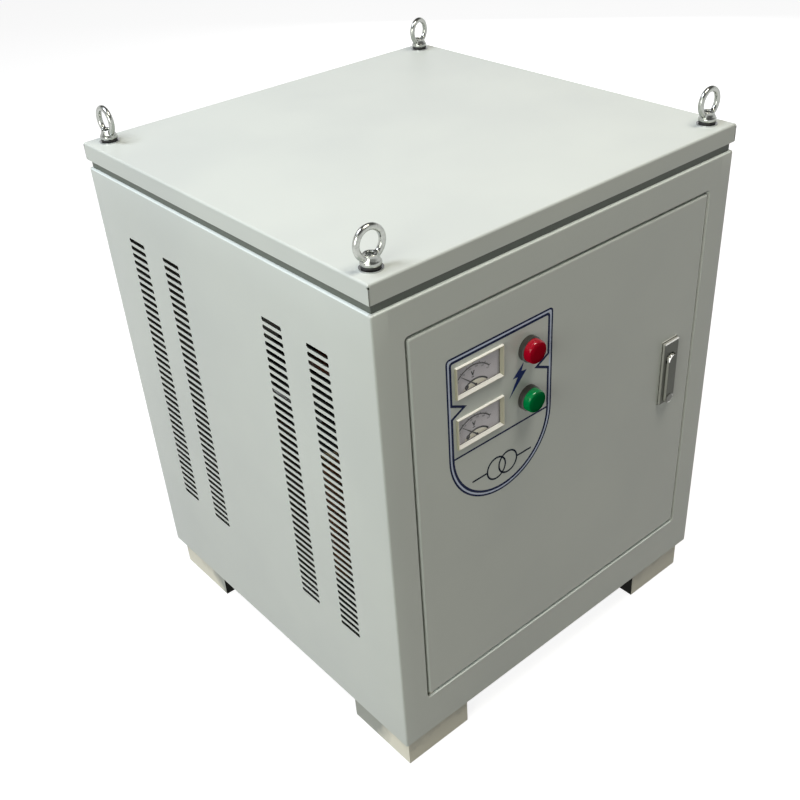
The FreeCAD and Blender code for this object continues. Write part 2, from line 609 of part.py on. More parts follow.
def make_lamps():
    """The red and green pilot lamps: bezel with barrel, lens and the ring nut behind the door."""
    nuts = []
    for z, colour in zip(LAMP_Z, ("red", "green")):
        seat = LAMP_BEZEL_HEIGHT - 1
        body = turned(((0, seat), (LAMP_LENS_RADIUS, seat), (LAMP_LENS_RADIUS, LAMP_BEZEL_HEIGHT),
                       (LAMP_BEZEL_RADIUS - LAMP_BEZEL_CHAMFER, LAMP_BEZEL_HEIGHT),
                       (LAMP_BEZEL_RADIUS, LAMP_BEZEL_HEIGHT - LAMP_BEZEL_CHAMFER),
                       (LAMP_BEZEL_RADIUS, 0), (LAMP_BARREL_RADIUS, 0), (LAMP_BARREL_RADIUS, -28),
                       (LAMP_BARREL_RADIUS - 2, -28), (LAMP_BARREL_RADIUS - 2, -LAMP_BARREL_DEPTH),
                       (0, -LAMP_BARREL_DEPTH)), LAMP_X, z)
        save("lamp_body_" + colour, body)
        lens = rod_y(LAMP_X, z, LAMP_LENS_RADIUS, out(LAMP_LENS_TOP), out(seat))
        lens = lens.makeFillet(2.2, edges_where(lens, lambda p: near(p.y, out(LAMP_LENS_TOP))))
        save("lamp_lens_" + colour, lens)
        nut = hexagon_y(27.0, LAMP_X, z, FRONT + SHEET, FRONT + SHEET + 5)
        nuts.append(nut.cut(rod_y(LAMP_X, z, LAMP_BARREL_RADIUS, FRONT, FRONT + 10)))
    save("lamp_nuts", Part.makeCompound(nuts))


def make_lock():
    """The lock: plate with its housing, spindle and cam, folding lever on a pin, and release button."""
    half = LOCK_WIDTH / 2
    plate = rounded_block(LOCK_X - half, LOCK_X + half, LOCK_BOTTOM, LOCK_TOP, 1.5,
                          out(LOCK_PLATE_HEIGHT), FRONT)
    plate = plate.makeFillet(0.7, edges_where(plate, lambda p: near(p.y, out(LOCK_PLATE_HEIGHT))))
    housing = box(LOCK_X - LOCK_BODY_WIDTH / 2, LOCK_X + LOCK_BODY_WIDTH / 2, FRONT, out(-LOCK_BODY_DEPTH),
                  LOCK_BODY_BOTTOM, LOCK_BODY_TOP)
    plate = plate.fuse(housing).removeSplitter()
    plate = plate.cut(rod_y(LOCK_X, SPINDLE_Z, POCKET_RADIUS, out(LOCK_PLATE_HEIGHT + 1), out(POCKET_FLOOR)))
    plate = plate.cut(rod_y(LOCK_X, SPINDLE_Z, SPINDLE_RADIUS + 0.05, out(2), out(-LOCK_BODY_DEPTH - 1)))
    save("lock_plate", plate)

    cam_face = out(-CAM_BEHIND)
    cam_back = cam_face + CAM_THICKNESS
    pin_y = out(LEVER_PIN_OUT)
    spindle = rod_y(LOCK_X, SPINDLE_Z, SPINDLE_RADIUS, out(SPINDLE_HEAD), cam_face)
    square = box(LOCK_X - 3.4, LOCK_X + 3.4, cam_face, cam_back, SPINDLE_Z - 3.4, SPINDLE_Z + 3.4)
    thread = rod_y(LOCK_X, SPINDLE_Z, 3.0, cam_back, cam_back + 7)
    nut = hexagon_y(10.0, LOCK_X, SPINDLE_Z, cam_back, cam_back + 5)
    tongue = box(LOCK_X - 3, LOCK_X + 3, pin_y, out(SPINDLE_HEAD), LEVER_PIN_Z - LEVER_EAR_RADIUS,
                 LEVER_PIN_Z + LEVER_EAR_RADIUS)
    tip = rod_x(pin_y, LEVER_PIN_Z, LEVER_EAR_RADIUS, LOCK_X - 3, LOCK_X + 3)
    spindle = spindle.fuse([square, thread, nut, tongue, tip]).removeSplitter()
    pin = rod_x(pin_y, LEVER_PIN_Z, LEVER_PIN_RADIUS, LOCK_X - 5.4, LOCK_X + 5.4)
    save("lock_spindle", spindle.cut(pin))
    save("lever_pin", pin)
    half_cam = CAM_WIDTH / 2
    cam = rounded_block(LOCK_X - half_cam, LOCK_X + half_cam, SPINDLE_Z - half_cam, SPINDLE_Z + CAM_REACH,
                        4.0, cam_face, cam_back)
    save("lock_cam", cam.cut(square))

    low = LOCK_BOTTOM + LEVER_HALF_WIDTH
    lever = rounded_block(LOCK_X - LEVER_HALF_WIDTH, LOCK_X + LEVER_HALF_WIDTH, LOCK_BOTTOM,
                          SPINDLE_Z + LEVER_HALF_WIDTH, LEVER_HALF_WIDTH - 0.01,
                          out(LEVER_FACE), out(LEVER_BACK))
    lever = lever.makeFillet(0.8, edges_where(lever, lambda p: near(p.y, out(LEVER_FACE))))
    ears = rod_x(pin_y, LEVER_PIN_Z, LEVER_EAR_RADIUS, LOCK_X - 6, LOCK_X + 6)
    lever = lever.fuse(ears).removeSplitter()
    lever = lever.cut(box(LOCK_X - 3.3, LOCK_X + 3.3, out(6.9), out(0), LEVER_PIN_Z - 3.3, LEVER_PIN_Z + 3.3))
    lever = lever.cut(rod_x(pin_y, LEVER_PIN_Z, LEVER_PIN_RADIUS + 0.05, LOCK_X - 5.7, LOCK_X + 5.7))
    lever = lever.cut(rod_y(LOCK_X, low, BUTTON_RADIUS + 0.05, out(LEVER_FACE + 1), out(LEVER_BACK - 1)))
    save("lock_lever", lever)
    button = rod_y(LOCK_X, low, BUTTON_RADIUS, out(BUTTON_FACE), out(BUTTON_BACK))
    save("lock_button", button.makeChamfer(0.5, edges_where(button, lambda p: near(p.y, out(BUTTON_FACE)))))


def channel(x0, x1, web_y, direction, z0, z1):
    """A beam along X: an upright web with both flanges turned away from the core."""
    tip = web_y + direction * BEAM_FLANGE
    solid = box(x0, x1, min(web_y, tip), max(web_y, tip), z0, z1)
    inner = web_y + direction * BEAM_SHEET
    past = tip + direction
    return solid.cut(box(x0 - 1, x1 + 1, min(inner, past), max(inner, past),
                         z0 + BEAM_SHEET, z1 - BEAM_SHEET))


def make_core():
    """The laminated core on two rails, held by four channel beams and their studs."""
    half = LIMB_PITCH + LIMB_WIDTH / 2
    depth = STACK_DEPTH / 2
    core = box(-half, half, -depth, depth, CORE_BOTTOM, CORE_TOP)
    for x in (-LIMB_PITCH / 2, LIMB_PITCH / 2):
        gap = (LIMB_PITCH - LIMB_WIDTH) / 2
        core = core.cut(box(x - gap, x + gap, -depth - 1, depth + 1, WINDOW_BOTTOM, WINDOW_TOP))
    save("laminated_core", core)

    rail_base = BASE + TRAY_SHEET
    flange_y = depth + BEAM_FLANGE - 11
    rails = []
    bolts = []
    for x in (-RAIL_X, RAIL_X):
        rail = box(x - RAIL_WIDTH / 2, x + RAIL_WIDTH / 2, -RAIL_LENGTH / 2, RAIL_LENGTH / 2,
                   rail_base, RAIL_TOP)
        rail = rail.cut(box(x - RAIL_WIDTH / 2 + RAIL_SHEET, x + RAIL_WIDTH / 2 - RAIL_SHEET,
                            -RAIL_LENGTH / 2 - 1, RAIL_LENGTH / 2 + 1, rail_base - 1, RAIL_TOP - RAIL_SHEET))
        for y in (-flange_y, flange_y):
            rail = rail.cut(rod_z(x, y, 4.5, rail_base, RAIL_TOP + 1))
            under = RAIL_TOP - RAIL_SHEET
            head = hexagon(13.0, x, y, under - 5, under)
            above = RAIL_TOP + BEAM_SHEET
            shank = rod_z(x, y, 4.0, under, above + 10)
            bolts.append(head.fuse([shank, hexagon(13.0, x, y, above, above + 6.5)]).removeSplitter())
        rails.append(rail)
    save("core_rails", Part.makeCompound(rails))
    save("rail_bolts", Part.makeCompound(bolts))

    studs = []
    for name, z0 in (("lower_clamp_beams", LOWER_BEAM_BOTTOM), ("upper_clamp_beams", UPPER_BEAM_BOTTOM)):
        z1 = z0 + BEAM_HEIGHT
        beams = []
        for direction in (-1, 1):
            beam = channel(-BEAM_HALF_LENGTH, BEAM_HALF_LENGTH, direction * depth, direction, z0, z1)
            for x in (-CLAMP_STUD_X, CLAMP_STUD_X):
                beam = beam.cut(rod_y(x, (z0 + z1) / 2, CLAMP_STUD_RADIUS + 0.3, -depth - 6, depth + 6))
            if name == "lower_clamp_beams":
                for x in (-RAIL_X, RAIL_X):
                    beam = beam.cut(rod_z(x, direction * flange_y, 4.3, z0 - 1, z0 + BEAM_SHEET + 1))
            beams.append(beam)
        save(name, Part.makeCompound(beams))
        for x in (-CLAMP_STUD_X, CLAMP_STUD_X):
            end = depth + BEAM_SHEET
            stud = rod_y(x, (z0 + z1) / 2, CLAMP_STUD_RADIUS, -end - 14, end + 14)
            nuts = [hexagon_y(17.0, x, (z0 + z1) / 2, -end - 8, -end),
                    hexagon_y(17.0, x, (z0 + z1) / 2, end, end + 8)]
            studs.append(stud.fuse(nuts).removeSplitter())
    save("clamp_studs", Part.makeCompound(studs))


def make_windings():
    """On each limb an inner winding, an insulating barrier and an outer winding, with end blocks."""
    inner_x = LIMB_WIDTH / 2 + INNER_BORE_GAP + INNER_THICKNESS
    inner_y = STACK_DEPTH / 2 + INNER_BORE_GAP + INNER_THICKNESS
    barrier_x = inner_x + DUCT + BARRIER_THICKNESS
    barrier_y = inner_y + DUCT + BARRIER_THICKNESS
    outer_x = barrier_x + DUCT + OUTER_THICKNESS
    outer_y = barrier_y + DUCT + OUTER_THICKNESS
    inner = [rounded_tube(inner_x, inner_y, 16.0, INNER_THICKNESS, x, WINDING_BOTTOM, WINDING_TOP)
             for x in LIMBS]
    save("inner_windings", Part.makeCompound(inner))
    barriers = [rounded_tube(barrier_x, barrier_y, 20.0, BARRIER_THICKNESS, x,
                             WINDING_BOTTOM - BARRIER_OVERRUN, WINDING_TOP + BARRIER_OVERRUN)
                for x in LIMBS]
    save("winding_barriers", Part.makeCompound(barriers))
    for x, phase in zip(LIMBS, "abc"):
        save("outer_winding_" + phase,
             rounded_tube(outer_x, outer_y, 30.0, OUTER_THICKNESS, x, WINDING_BOTTOM, WINDING_TOP))
    blocks = []
    lower_beam_top = LOWER_BEAM_BOTTOM + BEAM_HEIGHT
    for x in LIMBS:
        for side in (-1, 1):
            y0, y1 = sorted((side * (barrier_y + DUCT), side * (STACK_DEPTH / 2 + BEAM_FLANGE)))
            blocks.append(box(x - 15, x + 15, y0, y1, lower_beam_top, WINDING_BOTTOM))
            blocks.append(box(x - 15, x + 15, y0, y1, WINDING_TOP, UPPER_BEAM_BOTTOM))
            y0, y1 = sorted((side * (STACK_DEPTH / 2 + 1), side * (inner_y + 1)))
            blocks.append(box(x - 15, x + 15, y0, y1, lower_beam_top, WINDING_BOTTOM))
            blocks.append(box(x - 15, x + 15, y0, y1, WINDING_TOP, UPPER_BEAM_BOTTOM))
    save("winding_blocks", Part.makeCompound(blocks))
    return inner_y, outer_y


def bent_bar(points, x):
    """A flat bar bent in the Y-Z plane along square corners, centred on x; the points are its low corners."""
    runs = []
    half = LEAD_WIDTH / 2
    for (y0, z0), (y1, z1) in zip(points, points[1:]):
        low_y, high_y = sorted((y0, y1))
        low_z, high_z = sorted((z0, z1))
        runs.append(box(x - half, x + half, low_y, high_y + LEAD_THICKNESS, low_z, high_z + LEAD_THICKNESS))
    return runs[0].fuse(runs[1:]).removeSplitter()


def make_terminals(inner_y, outer_y):
    """The terminal board on the front upper beam, its studs, and the copper bars from the windings."""
    beam_middle = -STACK_DEPTH / 2 - BEAM_FLANGE / 2
    board_front = beam_middle - BOARD_DEPTH / 2
    stud_y = board_front + 20
    lead_y = board_front - 4 - LEAD_THICKNESS
    lead_top = BOARD_TOP + 6.5
    over_barrier = WINDING_TOP + BARRIER_OVERRUN + 2
    inner_start = -inner_y + 2
    board = box(-BOARD_WIDTH / 2, BOARD_WIDTH / 2, board_front, board_front + BOARD_DEPTH,
                BOARD_BOTTOM, BOARD_TOP)
    posts = [rod_z(x, beam_middle, POST_RADIUS, UPPER_BEAM_TOP, BOARD_BOTTOM) for x in POST_X]
    leads = []
    studs = []
    for x in LIMBS:
        outer_path = [(-outer_y - LEAD_THICKNESS, WINDING_TOP - 40), (lead_y, WINDING_TOP - 40),
                      (lead_y, lead_top), (stud_y + 6, lead_top)]
        inner_path = [(inner_start, WINDING_TOP), (inner_start, over_barrier), (lead_y, over_barrier),
                      (lead_y, lead_top), (stud_y + 6, lead_top)]
        for stud_x, path in ((x - LEAD_OFFSET, outer_path), (x + LEAD_OFFSET, inner_path)):
            bar = bent_bar(path, stud_x)
            leads.append(bar.cut(rod_z(stud_x, stud_y, TERMINAL_RADIUS + 0.2, BOARD_TOP, lead_top + 10)))
            board = board.cut(rod_z(stud_x, stud_y, TERMINAL_RADIUS + 0.1, BOARD_BOTTOM - 1, BOARD_TOP + 1))
            stud = rod_z(stud_x, stud_y, TERMINAL_RADIUS, BOARD_BOTTOM - 6.5, lead_top + 22)
            nuts = [hexagon(13.0, stud_x, stud_y, BOARD_BOTTOM - 6.5, BOARD_BOTTOM),
                    hexagon(13.0, stud_x, stud_y, BOARD_TOP, BOARD_TOP + 6.5),
                    hexagon(13.0, stud_x, stud_y, lead_top + LEAD_THICKNESS, lead_top + LEAD_THICKNESS + 6.5)]
            studs.append(stud.fuse(nuts).removeSplitter())
    save("terminal_board", board)
    save("board_posts", Part.makeCompound(posts))
    save("terminal_studs", Part.makeCompound(studs))
    save("winding_leads", Part.makeCompound(leads))

    end = outer_y + 6
    half = LIMB_PITCH + LEAD_OFFSET + LEAD_WIDTH / 2
    inner_link = box(-half, half, end, end + LEAD_THICKNESS, over_barrier, over_barrier + 20)
    tail_path = [(-inner_start - LEAD_THICKNESS, WINDING_TOP), (-inner_start - LEAD_THICKNESS, over_barrier),
                 (end, over_barrier)]
    tails = [bent_bar(tail_path, x + LEAD_OFFSET) for x in LIMBS]
    outer_link = box(-half, half, outer_y, outer_y + LEAD_THICKNESS, WINDING_BOTTOM + 30, WINDING_BOTTOM + 50)
    save("star_links", Part.makeCompound([inner_link.fuse(tails).removeSplitter(), outer_link]))


def make_earth_stud():
    """The earth stud welded on the tray, with its nut and washer."""
    x = SIDE - 60
    floor = BASE + TRAY_SHEET
    stud = rod_z(x, 0, 4.0, floor, floor + 28)
    parts = [hexagon(13.0, x, 0, floor, floor + 6.5), rod_z(x, 0, 8.0, floor + 6.5, floor + 8),
             hexagon(13.0, x, 0, floor + 12, floor + 18.5)]
    save("earth_stud", stud.fuse(parts).removeSplitter())


os.makedirs("parts", exist_ok=True)
make_feet()
make_base_tray()
make_cable_grommets()
make_side_panels()
save("rear_screws", Part.makeCompound(make_rear_panel()))
make_front_frame()
make_lid()
make_lifting_eyes()
make_hinge()
make_door()
make_meters()
make_lamps()
make_lock()
make_core()
make_terminals(*make_windings())
make_earth_stud()
print(len(NODES), "nodes")
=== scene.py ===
import math
import bmesh
import bpy
from mathutils import Matrix, Vector


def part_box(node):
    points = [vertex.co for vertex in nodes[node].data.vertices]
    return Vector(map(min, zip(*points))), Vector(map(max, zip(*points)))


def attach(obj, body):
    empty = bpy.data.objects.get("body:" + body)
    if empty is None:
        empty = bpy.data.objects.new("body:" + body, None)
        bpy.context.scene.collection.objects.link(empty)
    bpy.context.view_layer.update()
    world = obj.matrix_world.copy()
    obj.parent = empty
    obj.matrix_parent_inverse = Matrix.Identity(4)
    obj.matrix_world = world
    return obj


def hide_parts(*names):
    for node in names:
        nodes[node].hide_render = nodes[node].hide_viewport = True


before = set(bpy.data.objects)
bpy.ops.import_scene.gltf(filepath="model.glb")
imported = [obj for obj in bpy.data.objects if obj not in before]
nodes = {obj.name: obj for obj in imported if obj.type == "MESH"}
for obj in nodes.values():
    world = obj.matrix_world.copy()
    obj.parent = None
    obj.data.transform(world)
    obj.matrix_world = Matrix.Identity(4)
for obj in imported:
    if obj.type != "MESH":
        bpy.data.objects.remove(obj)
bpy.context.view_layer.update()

# The camera stands before the cabinet's front left corner and looks down at it. Its place, lens
# and shift were solved from the edges of the lid, the body and the door.
camera_place = (-0.77277, -0.93922, 1.10662)
camera = bpy.data.objects.new("camera", bpy.data.cameras.new("camera"))
bpy.context.scene.collection.objects.link(camera)
bpy.context.scene.camera = camera
right_hand = Vector((0.75261, -0.65629, -0.05355))
downwards = Vector((-0.40811, -0.40108, -0.82011))
forwards = Vector((0.51675, 0.63908, -0.56969))
turn = Matrix((right_hand, -downwards, -forwards)).transposed().to_4x4()
camera.matrix_world = Matrix.Translation(camera_place) @ turn
camera.data.sensor_width = 36.0
camera.data.lens = 47.16
camera.data.shift_x = -0.0140
camera.data.shift_y = 0.0289
camera.data.clip_start = 0.05

# The studio: a white seamless floor and a white horizon under a grey ceiling, which gives the
# metals a darker band to mirror. The camera sees plain white wherever the object isn't. To all
# other rays the room is nearly dark, so the lamps alone shape the object.
room_light = 0.05


def srgb(code, alpha=1.0):
    """The linear colour of an sRGB hex value."""
    parts = [int(code[i:i + 2], 16) / 255 for i in (1, 3, 5)]
    return [p / 12.92 if p <= 0.04045 else ((p + 0.055) / 1.055) ** 2.4 for p in parts] + [alpha]


def add_node(tree, kind, inputs=None, **settings):
    """Adds one node with its settings; each input gets a value, or a link from another node's socket."""
    node = tree.nodes.new("ShaderNode" + kind)
    for name, value in settings.items():
        setattr(node, name, value)
    for name, value in (inputs or {}).items():
        if isinstance(value, bpy.types.NodeSocket):
            tree.links.new(value, node.inputs[name])
        else:
            node.inputs[name].default_value = value
    return node


world = bpy.data.worlds.new("studio")
bpy.context.scene.world = world
world.use_nodes = True
sky = world.node_tree
sky.nodes.clear()
ray = add_node(sky, "LightPath")
clear = add_node(sky, "Math", {0: ray.outputs["Is Camera Ray"], 1: ray.outputs["Is Transmission Ray"]},
                 operation="MAXIMUM")
aim = add_node(sky, "TexCoord")
height = add_node(sky, "SeparateXYZ", {"Vector": aim.outputs["Generated"]})
ceiling = add_node(sky, "MapRange", {"Value": height.outputs["Z"], "From Min": 0.22, "From Max": 0.5,
                                     "To Min": 1.0, "To Max": 0.12})
mirrored = add_node(sky, "Math", {0: ceiling.outputs[0], 1: ray.outputs["Is Glossy Ray"]},
                    operation="MULTIPLY")
seen = add_node(sky, "Math", {0: clear.outputs[0], 1: mirrored.outputs[0]}, operation="MAXIMUM")
strength = add_node(sky, "Math", {0: seen.outputs[0], 1: room_light}, operation="MAXIMUM")
backdrop = add_node(sky, "Background", {"Color": srgb("#FFFFFF"), "Strength": strength.outputs[0]})
add_node(sky, "OutputWorld", {"Surface": backdrop.outputs[0]})

# The floor is white seamless paper. It glows to the camera and to the metals, as overexposed
# paper does, but throws back only a dull light on the object.
reach = 6.0
floor_mesh = bpy.data.meshes.new("floor")
corners = [(-reach, -reach, 0), (reach, -reach, 0), (reach, reach, 0), (-reach, reach, 0)]
floor_mesh.from_pydata(corners, [], [(0, 1, 2, 3)])
floor = bpy.data.objects.new("floor", floor_mesh)
bpy.context.scene.collection.objects.link(floor)
paper = bpy.data.materials.new("seamless_paper")
paper.use_nodes = True
tree = paper.node_tree
tree.nodes.clear()
ray = add_node(tree, "LightPath")
seen = add_node(tree, "Math", {0: ray.outputs["Is Camera Ray"], 1: ray.outputs["Is Glossy Ray"]},
                operation="MAXIMUM")
seen = add_node(tree, "Math", {0: seen.outputs[0], 1: ray.outputs["Is Transmission Ray"]},
                operation="MAXIMUM")
lit = add_node(tree, "BsdfDiffuse", {"Color": srgb("#A8A8A8")})
glow = add_node(tree, "Emission", {"Color": srgb("#FFFFFF"), "Strength": 0.88})
white = add_node(tree, "AddShader", {0: lit.outputs[0], 1: glow.outputs[0]})
dull = add_node(tree, "BsdfDiffuse", {"Color": srgb("#6F6C62")})
both = add_node(tree, "MixShader", {0: seen.outputs[0], 1: dull.outputs[0], 2: white.outputs[0]})
add_node(tree, "OutputMaterial", {"Surface": both.outputs[0]})
floor.data.materials.append(paper)

# Three soft lamps light the lid, the left side and the front. A fourth, low behind on the right,
# lights the sides that the camera doesn't see, and neither the lid nor the metals mirror it.
# Each has a name, a place, a width in metres, a power in watts and a tint.
lamp_target = Vector((0, 0, 0.4))
lamps = (("soft_overhead", (-1.3, 0.8, 2.85), 1.2, 51.0, "#F1F4FF"),
         ("soft_rear", (2.4, 2.0, 0.9), 1.4, 26.0, "#FFFFFF"),
         ("soft_left", (-2.6, -0.9, 1.5), 1.6, 39.2, "#FDFFF6"),
         ("soft_front", (0.3, -0.75, 2.6), 0.8, 27.2, "#FFF8EC"))
for name, place, size, power, tint in lamps:
    lamp = bpy.data.lights.new(name, "AREA")
    lamp.shape = "SQUARE"
    lamp.size = size
    lamp.energy = power
    lamp.color = srgb(tint)[:3]
    holder = bpy.data.objects.new(name, lamp)
    bpy.context.scene.collection.objects.link(holder)
    facing = (Vector(place) - lamp_target).to_track_quat("Z", "Y")
    holder.matrix_world = Matrix.Translation(place) @ facing.to_matrix().to_4x4()
    holder.visible_glossy = name != "soft_rear"
bpy.context.scene.view_settings.view_transform = "Standard"

# The feet are box feet welded from 3 mm plate, open at the top under the tray. They are brushed
# with cream enamel, into which light and shade are painted: pale cream at the floor as painted
# floor light, grey upwards and towards the middle as painted shade under the body, and near black
# on their inner sides as painted shadow.
painted_shade_low, painted_shade_high, ragged = 0.024, 0.060, 0.010
foot_outside, foot_inside, feet_middle_y, inner_rise = 0.215, 0.180, -0.02, 0.055


def new_material(name):
    """A material with an empty node tree, and that tree."""
    material = bpy.data.materials.new(name)
    material.use_nodes = True
    material.node_tree.nodes.clear()
    return material, material.node_tree


def wear(material, *names):
    """Gives CAD nodes a material."""
    for name in names:
        nodes[name].data.materials.clear()
        nodes[name].data.materials.append(material)


cream_enamel, tree = new_material("brushed_cream_enamel_painted_shade")
place = add_node(tree, "TexCoord")
spot = add_node(tree, "SeparateXYZ", {"Vector": place.outputs["Object"]})
strokes = add_node(tree, "TexNoise", {"Vector": place.outputs["Object"], "Scale": 1000 / 25.0,
                                      "Detail": 4.0})
edge = add_node(tree, "MapRange", {"Value": strokes.outputs[0], "From Min": 0.3, "From Max": 0.7,
                                   "To Min": -ragged, "To Max": ragged})
# Painted shade: the colour greys upwards and towards the middle, and stays pale cream at the floor.
shifted = add_node(tree, "Math", {0: spot.outputs["Y"], 1: feet_middle_y}, operation="SUBTRACT")
outwards = add_node(tree, "Math", {0: shifted.outputs[0]}, operation="ABSOLUTE")
inwards = add_node(tree, "MapRange", {"Value": outwards.outputs[0], "From Min": foot_outside,
                                      "From Max": foot_inside, "To Max": inner_rise})
level = add_node(tree, "Math", {0: spot.outputs["Z"], 1: edge.outputs[0]}, operation="ADD")
level = add_node(tree, "Math", {0: level.outputs[0], 1: inwards.outputs[0]}, operation="ADD")
painted_shade_mask = add_node(tree, "MapRange", {"Value": level.outputs[0], "From Min": painted_shade_low,
                                        "From Max": painted_shade_high})
shade = add_node(tree, "Mix", {0: painted_shade_mask.outputs[0], 6: srgb("#FAF7E6"), 7: srgb("#A0A49B")},
                 data_type="RGBA")
# Painted shadow: faces turned inwards under the cabinet go near black and lose their sheen.
side_on = add_node(tree, "VectorMath", {0: place.outputs["Object"], 1: place.outputs["Normal"]},
                   operation="MULTIPLY")
outer = add_node(tree, "SeparateXYZ", {"Vector": side_on.outputs[0]})
inner = add_node(tree, "Math", {0: outer.outputs["X"], 1: outer.outputs["Y"]}, operation="MINIMUM")
painted_inner_shadow = add_node(tree, "MapRange", {"Value": inner.outputs[0], "From Min": -0.05, "From Max": -0.10})
shade = add_node(tree, "Mix", {0: painted_inner_shadow.outputs[0], 6: shade.outputs[2], 7: srgb("#151611")},
                 data_type="RGBA")
painted_sheen_level = add_node(tree, "MapRange", {"Value": painted_inner_shadow.outputs[0], "To Min": 0.5, "To Max": 0.05})
brushed = add_node(tree, "Bump", {"Height": strokes.outputs[0], "Distance": 0.0002, "Strength": 0.3})
enamel = add_node(tree, "BsdfPrincipled", {"Base Color": shade.outputs[2], "Roughness": 0.45, "IOR": 1.5,
                                           "Specular IOR Level": painted_sheen_level.outputs[0],
                                           "Normal": brushed.outputs[0]})
add_node(tree, "OutputMaterial", {"Surface": enamel.outputs[0]})
wear(cream_enamel, "foot_front_left", "foot_front_right", "foot_rear_left", "foot_rear_right")

# The base tray is 2 mm steel sheet with its rim folded up, powder coated light grey. The coat
# flows into a fine orange peel, drawn 2 mm across so that it shows: it dulls the reflections
# and lets the broad flats glint.
powder_coat, tree = new_material("powder_coated_steel")
place = add_node(tree, "TexCoord")
cloud = add_node(tree, "TexNoise", {"Vector": place.outputs["Object"], "Scale": 1000 / 160.0,
                                    "Detail": 2.0})
part = add_node(tree, "MapRange", {"Value": cloud.outputs[0], "From Min": 0.35, "From Max": 0.65})
shade = add_node(tree, "Mix", {0: part.outputs[0], 6: srgb("#CBD1CC"), 7: srgb("#D0D6D0")},
                 data_type="RGBA")
peel = add_node(tree, "TexNoise", {"Vector": place.outputs["Object"], "Scale": 1000 / 2.0, "Detail": 1.0})
ripple = add_node(tree, "Bump", {"Height": peel.outputs[0], "Distance": 0.00006, "Strength": 0.5})
coat = add_node(tree, "BsdfPrincipled", {"Base Color": shade.outputs[2], "Roughness": 0.40, "IOR": 1.5,
                                         "Normal": ripple.outputs[0]})
add_node(tree, "OutputMaterial", {"Surface": coat.outputs[0]})
wear(powder_coat, "base_tray")

# Two black rubber grommets are pressed into the cable holes of the tray. They are compression
# moulded, so their lips are round and their skin is dull with a faint bloom.
mm = 0.001
lip = ((14.0, -3.2), (14.4, -3.8), (15.2, -4.0), (21.0, -4.0), (22.4, -3.6), (23.0, -2.6), (23.0, 0.0),
       (20.0, 0.0), (20.0, 2.0), (23.0, 2.0), (23.0, 4.6), (22.4, 5.6), (21.0, 6.0), (15.2, 6.0),
       (14.4, 5.8), (14.0, 5.2))
cable_x, cable_y, tray_z = 0.070, 0.215, 0.050


def new_piece(name, body, material, shape, smooth=35.0):
    """Makes an object of a bmesh or a mesh, lets it ride on a body and gives it a finish."""
    mesh = shape
    if isinstance(shape, bmesh.types.BMesh):
        bmesh.ops.recalc_face_normals(shape, faces=shape.faces)
        mesh = bpy.data.meshes.new(name)
        shape.to_mesh(mesh)
        shape.free()
    mesh.name = name
    piece = bpy.data.objects.new(name, mesh)
    bpy.context.scene.collection.objects.link(piece)
    mesh.materials.clear()
    mesh.materials.append(material)
    mesh.shade_smooth()
    mesh.set_sharp_from_angle(angle=math.radians(smooth))
    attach(piece, body)
    return piece


def lathe(bm, profile, centre, axis="Z", steps=48):
    """Turns a closed profile of (radius, height) pairs about an axis through centre."""
    tilt = {"Y": Matrix.Rotation(math.pi / 2, 4, "X"), "Z": Matrix.Identity(4)}[axis]
    place = Matrix.Translation(centre) @ tilt
    rings = []
    for radius, height in profile:
        if radius == 0.0:
            rings.append([bm.verts.new(place @ Vector((0, 0, height)))] * steps)
            continue
        angles = [math.tau * k / steps for k in range(steps)]
        rings.append([bm.verts.new(place @ Vector((radius * math.cos(a), radius * math.sin(a), height)))
                      for a in angles])
    for low, high in zip(rings, rings[1:] + rings[:1]):
        for k in range(steps):
            loop = []
            for vertex in (low[k], low[(k + 1) % steps], high[(k + 1) % steps], high[k]):
                if vertex not in loop:
                    loop.append(vertex)
            if len(loop) > 2:
                bm.faces.new(loop)


def mottled(name, size, detail, dark, light, skin, relief=None):
    """A two-tone material: clouds of a size in millimetres, a skin, and a relief of (depth, strength)."""
    material, tree = new_material(name)
    place = add_node(tree, "TexCoord")
    clouds = add_node(tree, "TexNoise", {"Vector": place.outputs["Object"], "Scale": 1000 / size,
                                         "Detail": detail})
    shade = add_node(tree, "Mix", {0: clouds.outputs[0], 6: srgb(dark), 7: srgb(light)}, data_type="RGBA")
    surface = add_node(tree, "BsdfPrincipled", {"Base Color": shade.outputs[2], **skin})
    if relief:
        bump = add_node(tree, "Bump", {"Height": clouds.outputs[0], "Distance": relief[0],
                                       "Strength": relief[1]})
        tree.links.new(bump.outputs[0], surface.inputs["Normal"])
    add_node(tree, "OutputMaterial", {"Surface": surface.outputs[0]})
    return material


black_rubber = mottled("moulded_rubber", 3.0, 3.0, "#0F0F0F", "#1D1C1B", {"Roughness": 0.55, "IOR": 1.52})
bm = bmesh.new()
for x in (-cable_x, cable_x):
    lathe(bm, [(radius * mm, z * mm) for radius, z in lip], (x, cable_y, tray_z))
grommets = new_piece("lipped_cable_grommets", "cabinet", black_rubber, bm)
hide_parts("cable_grommets")

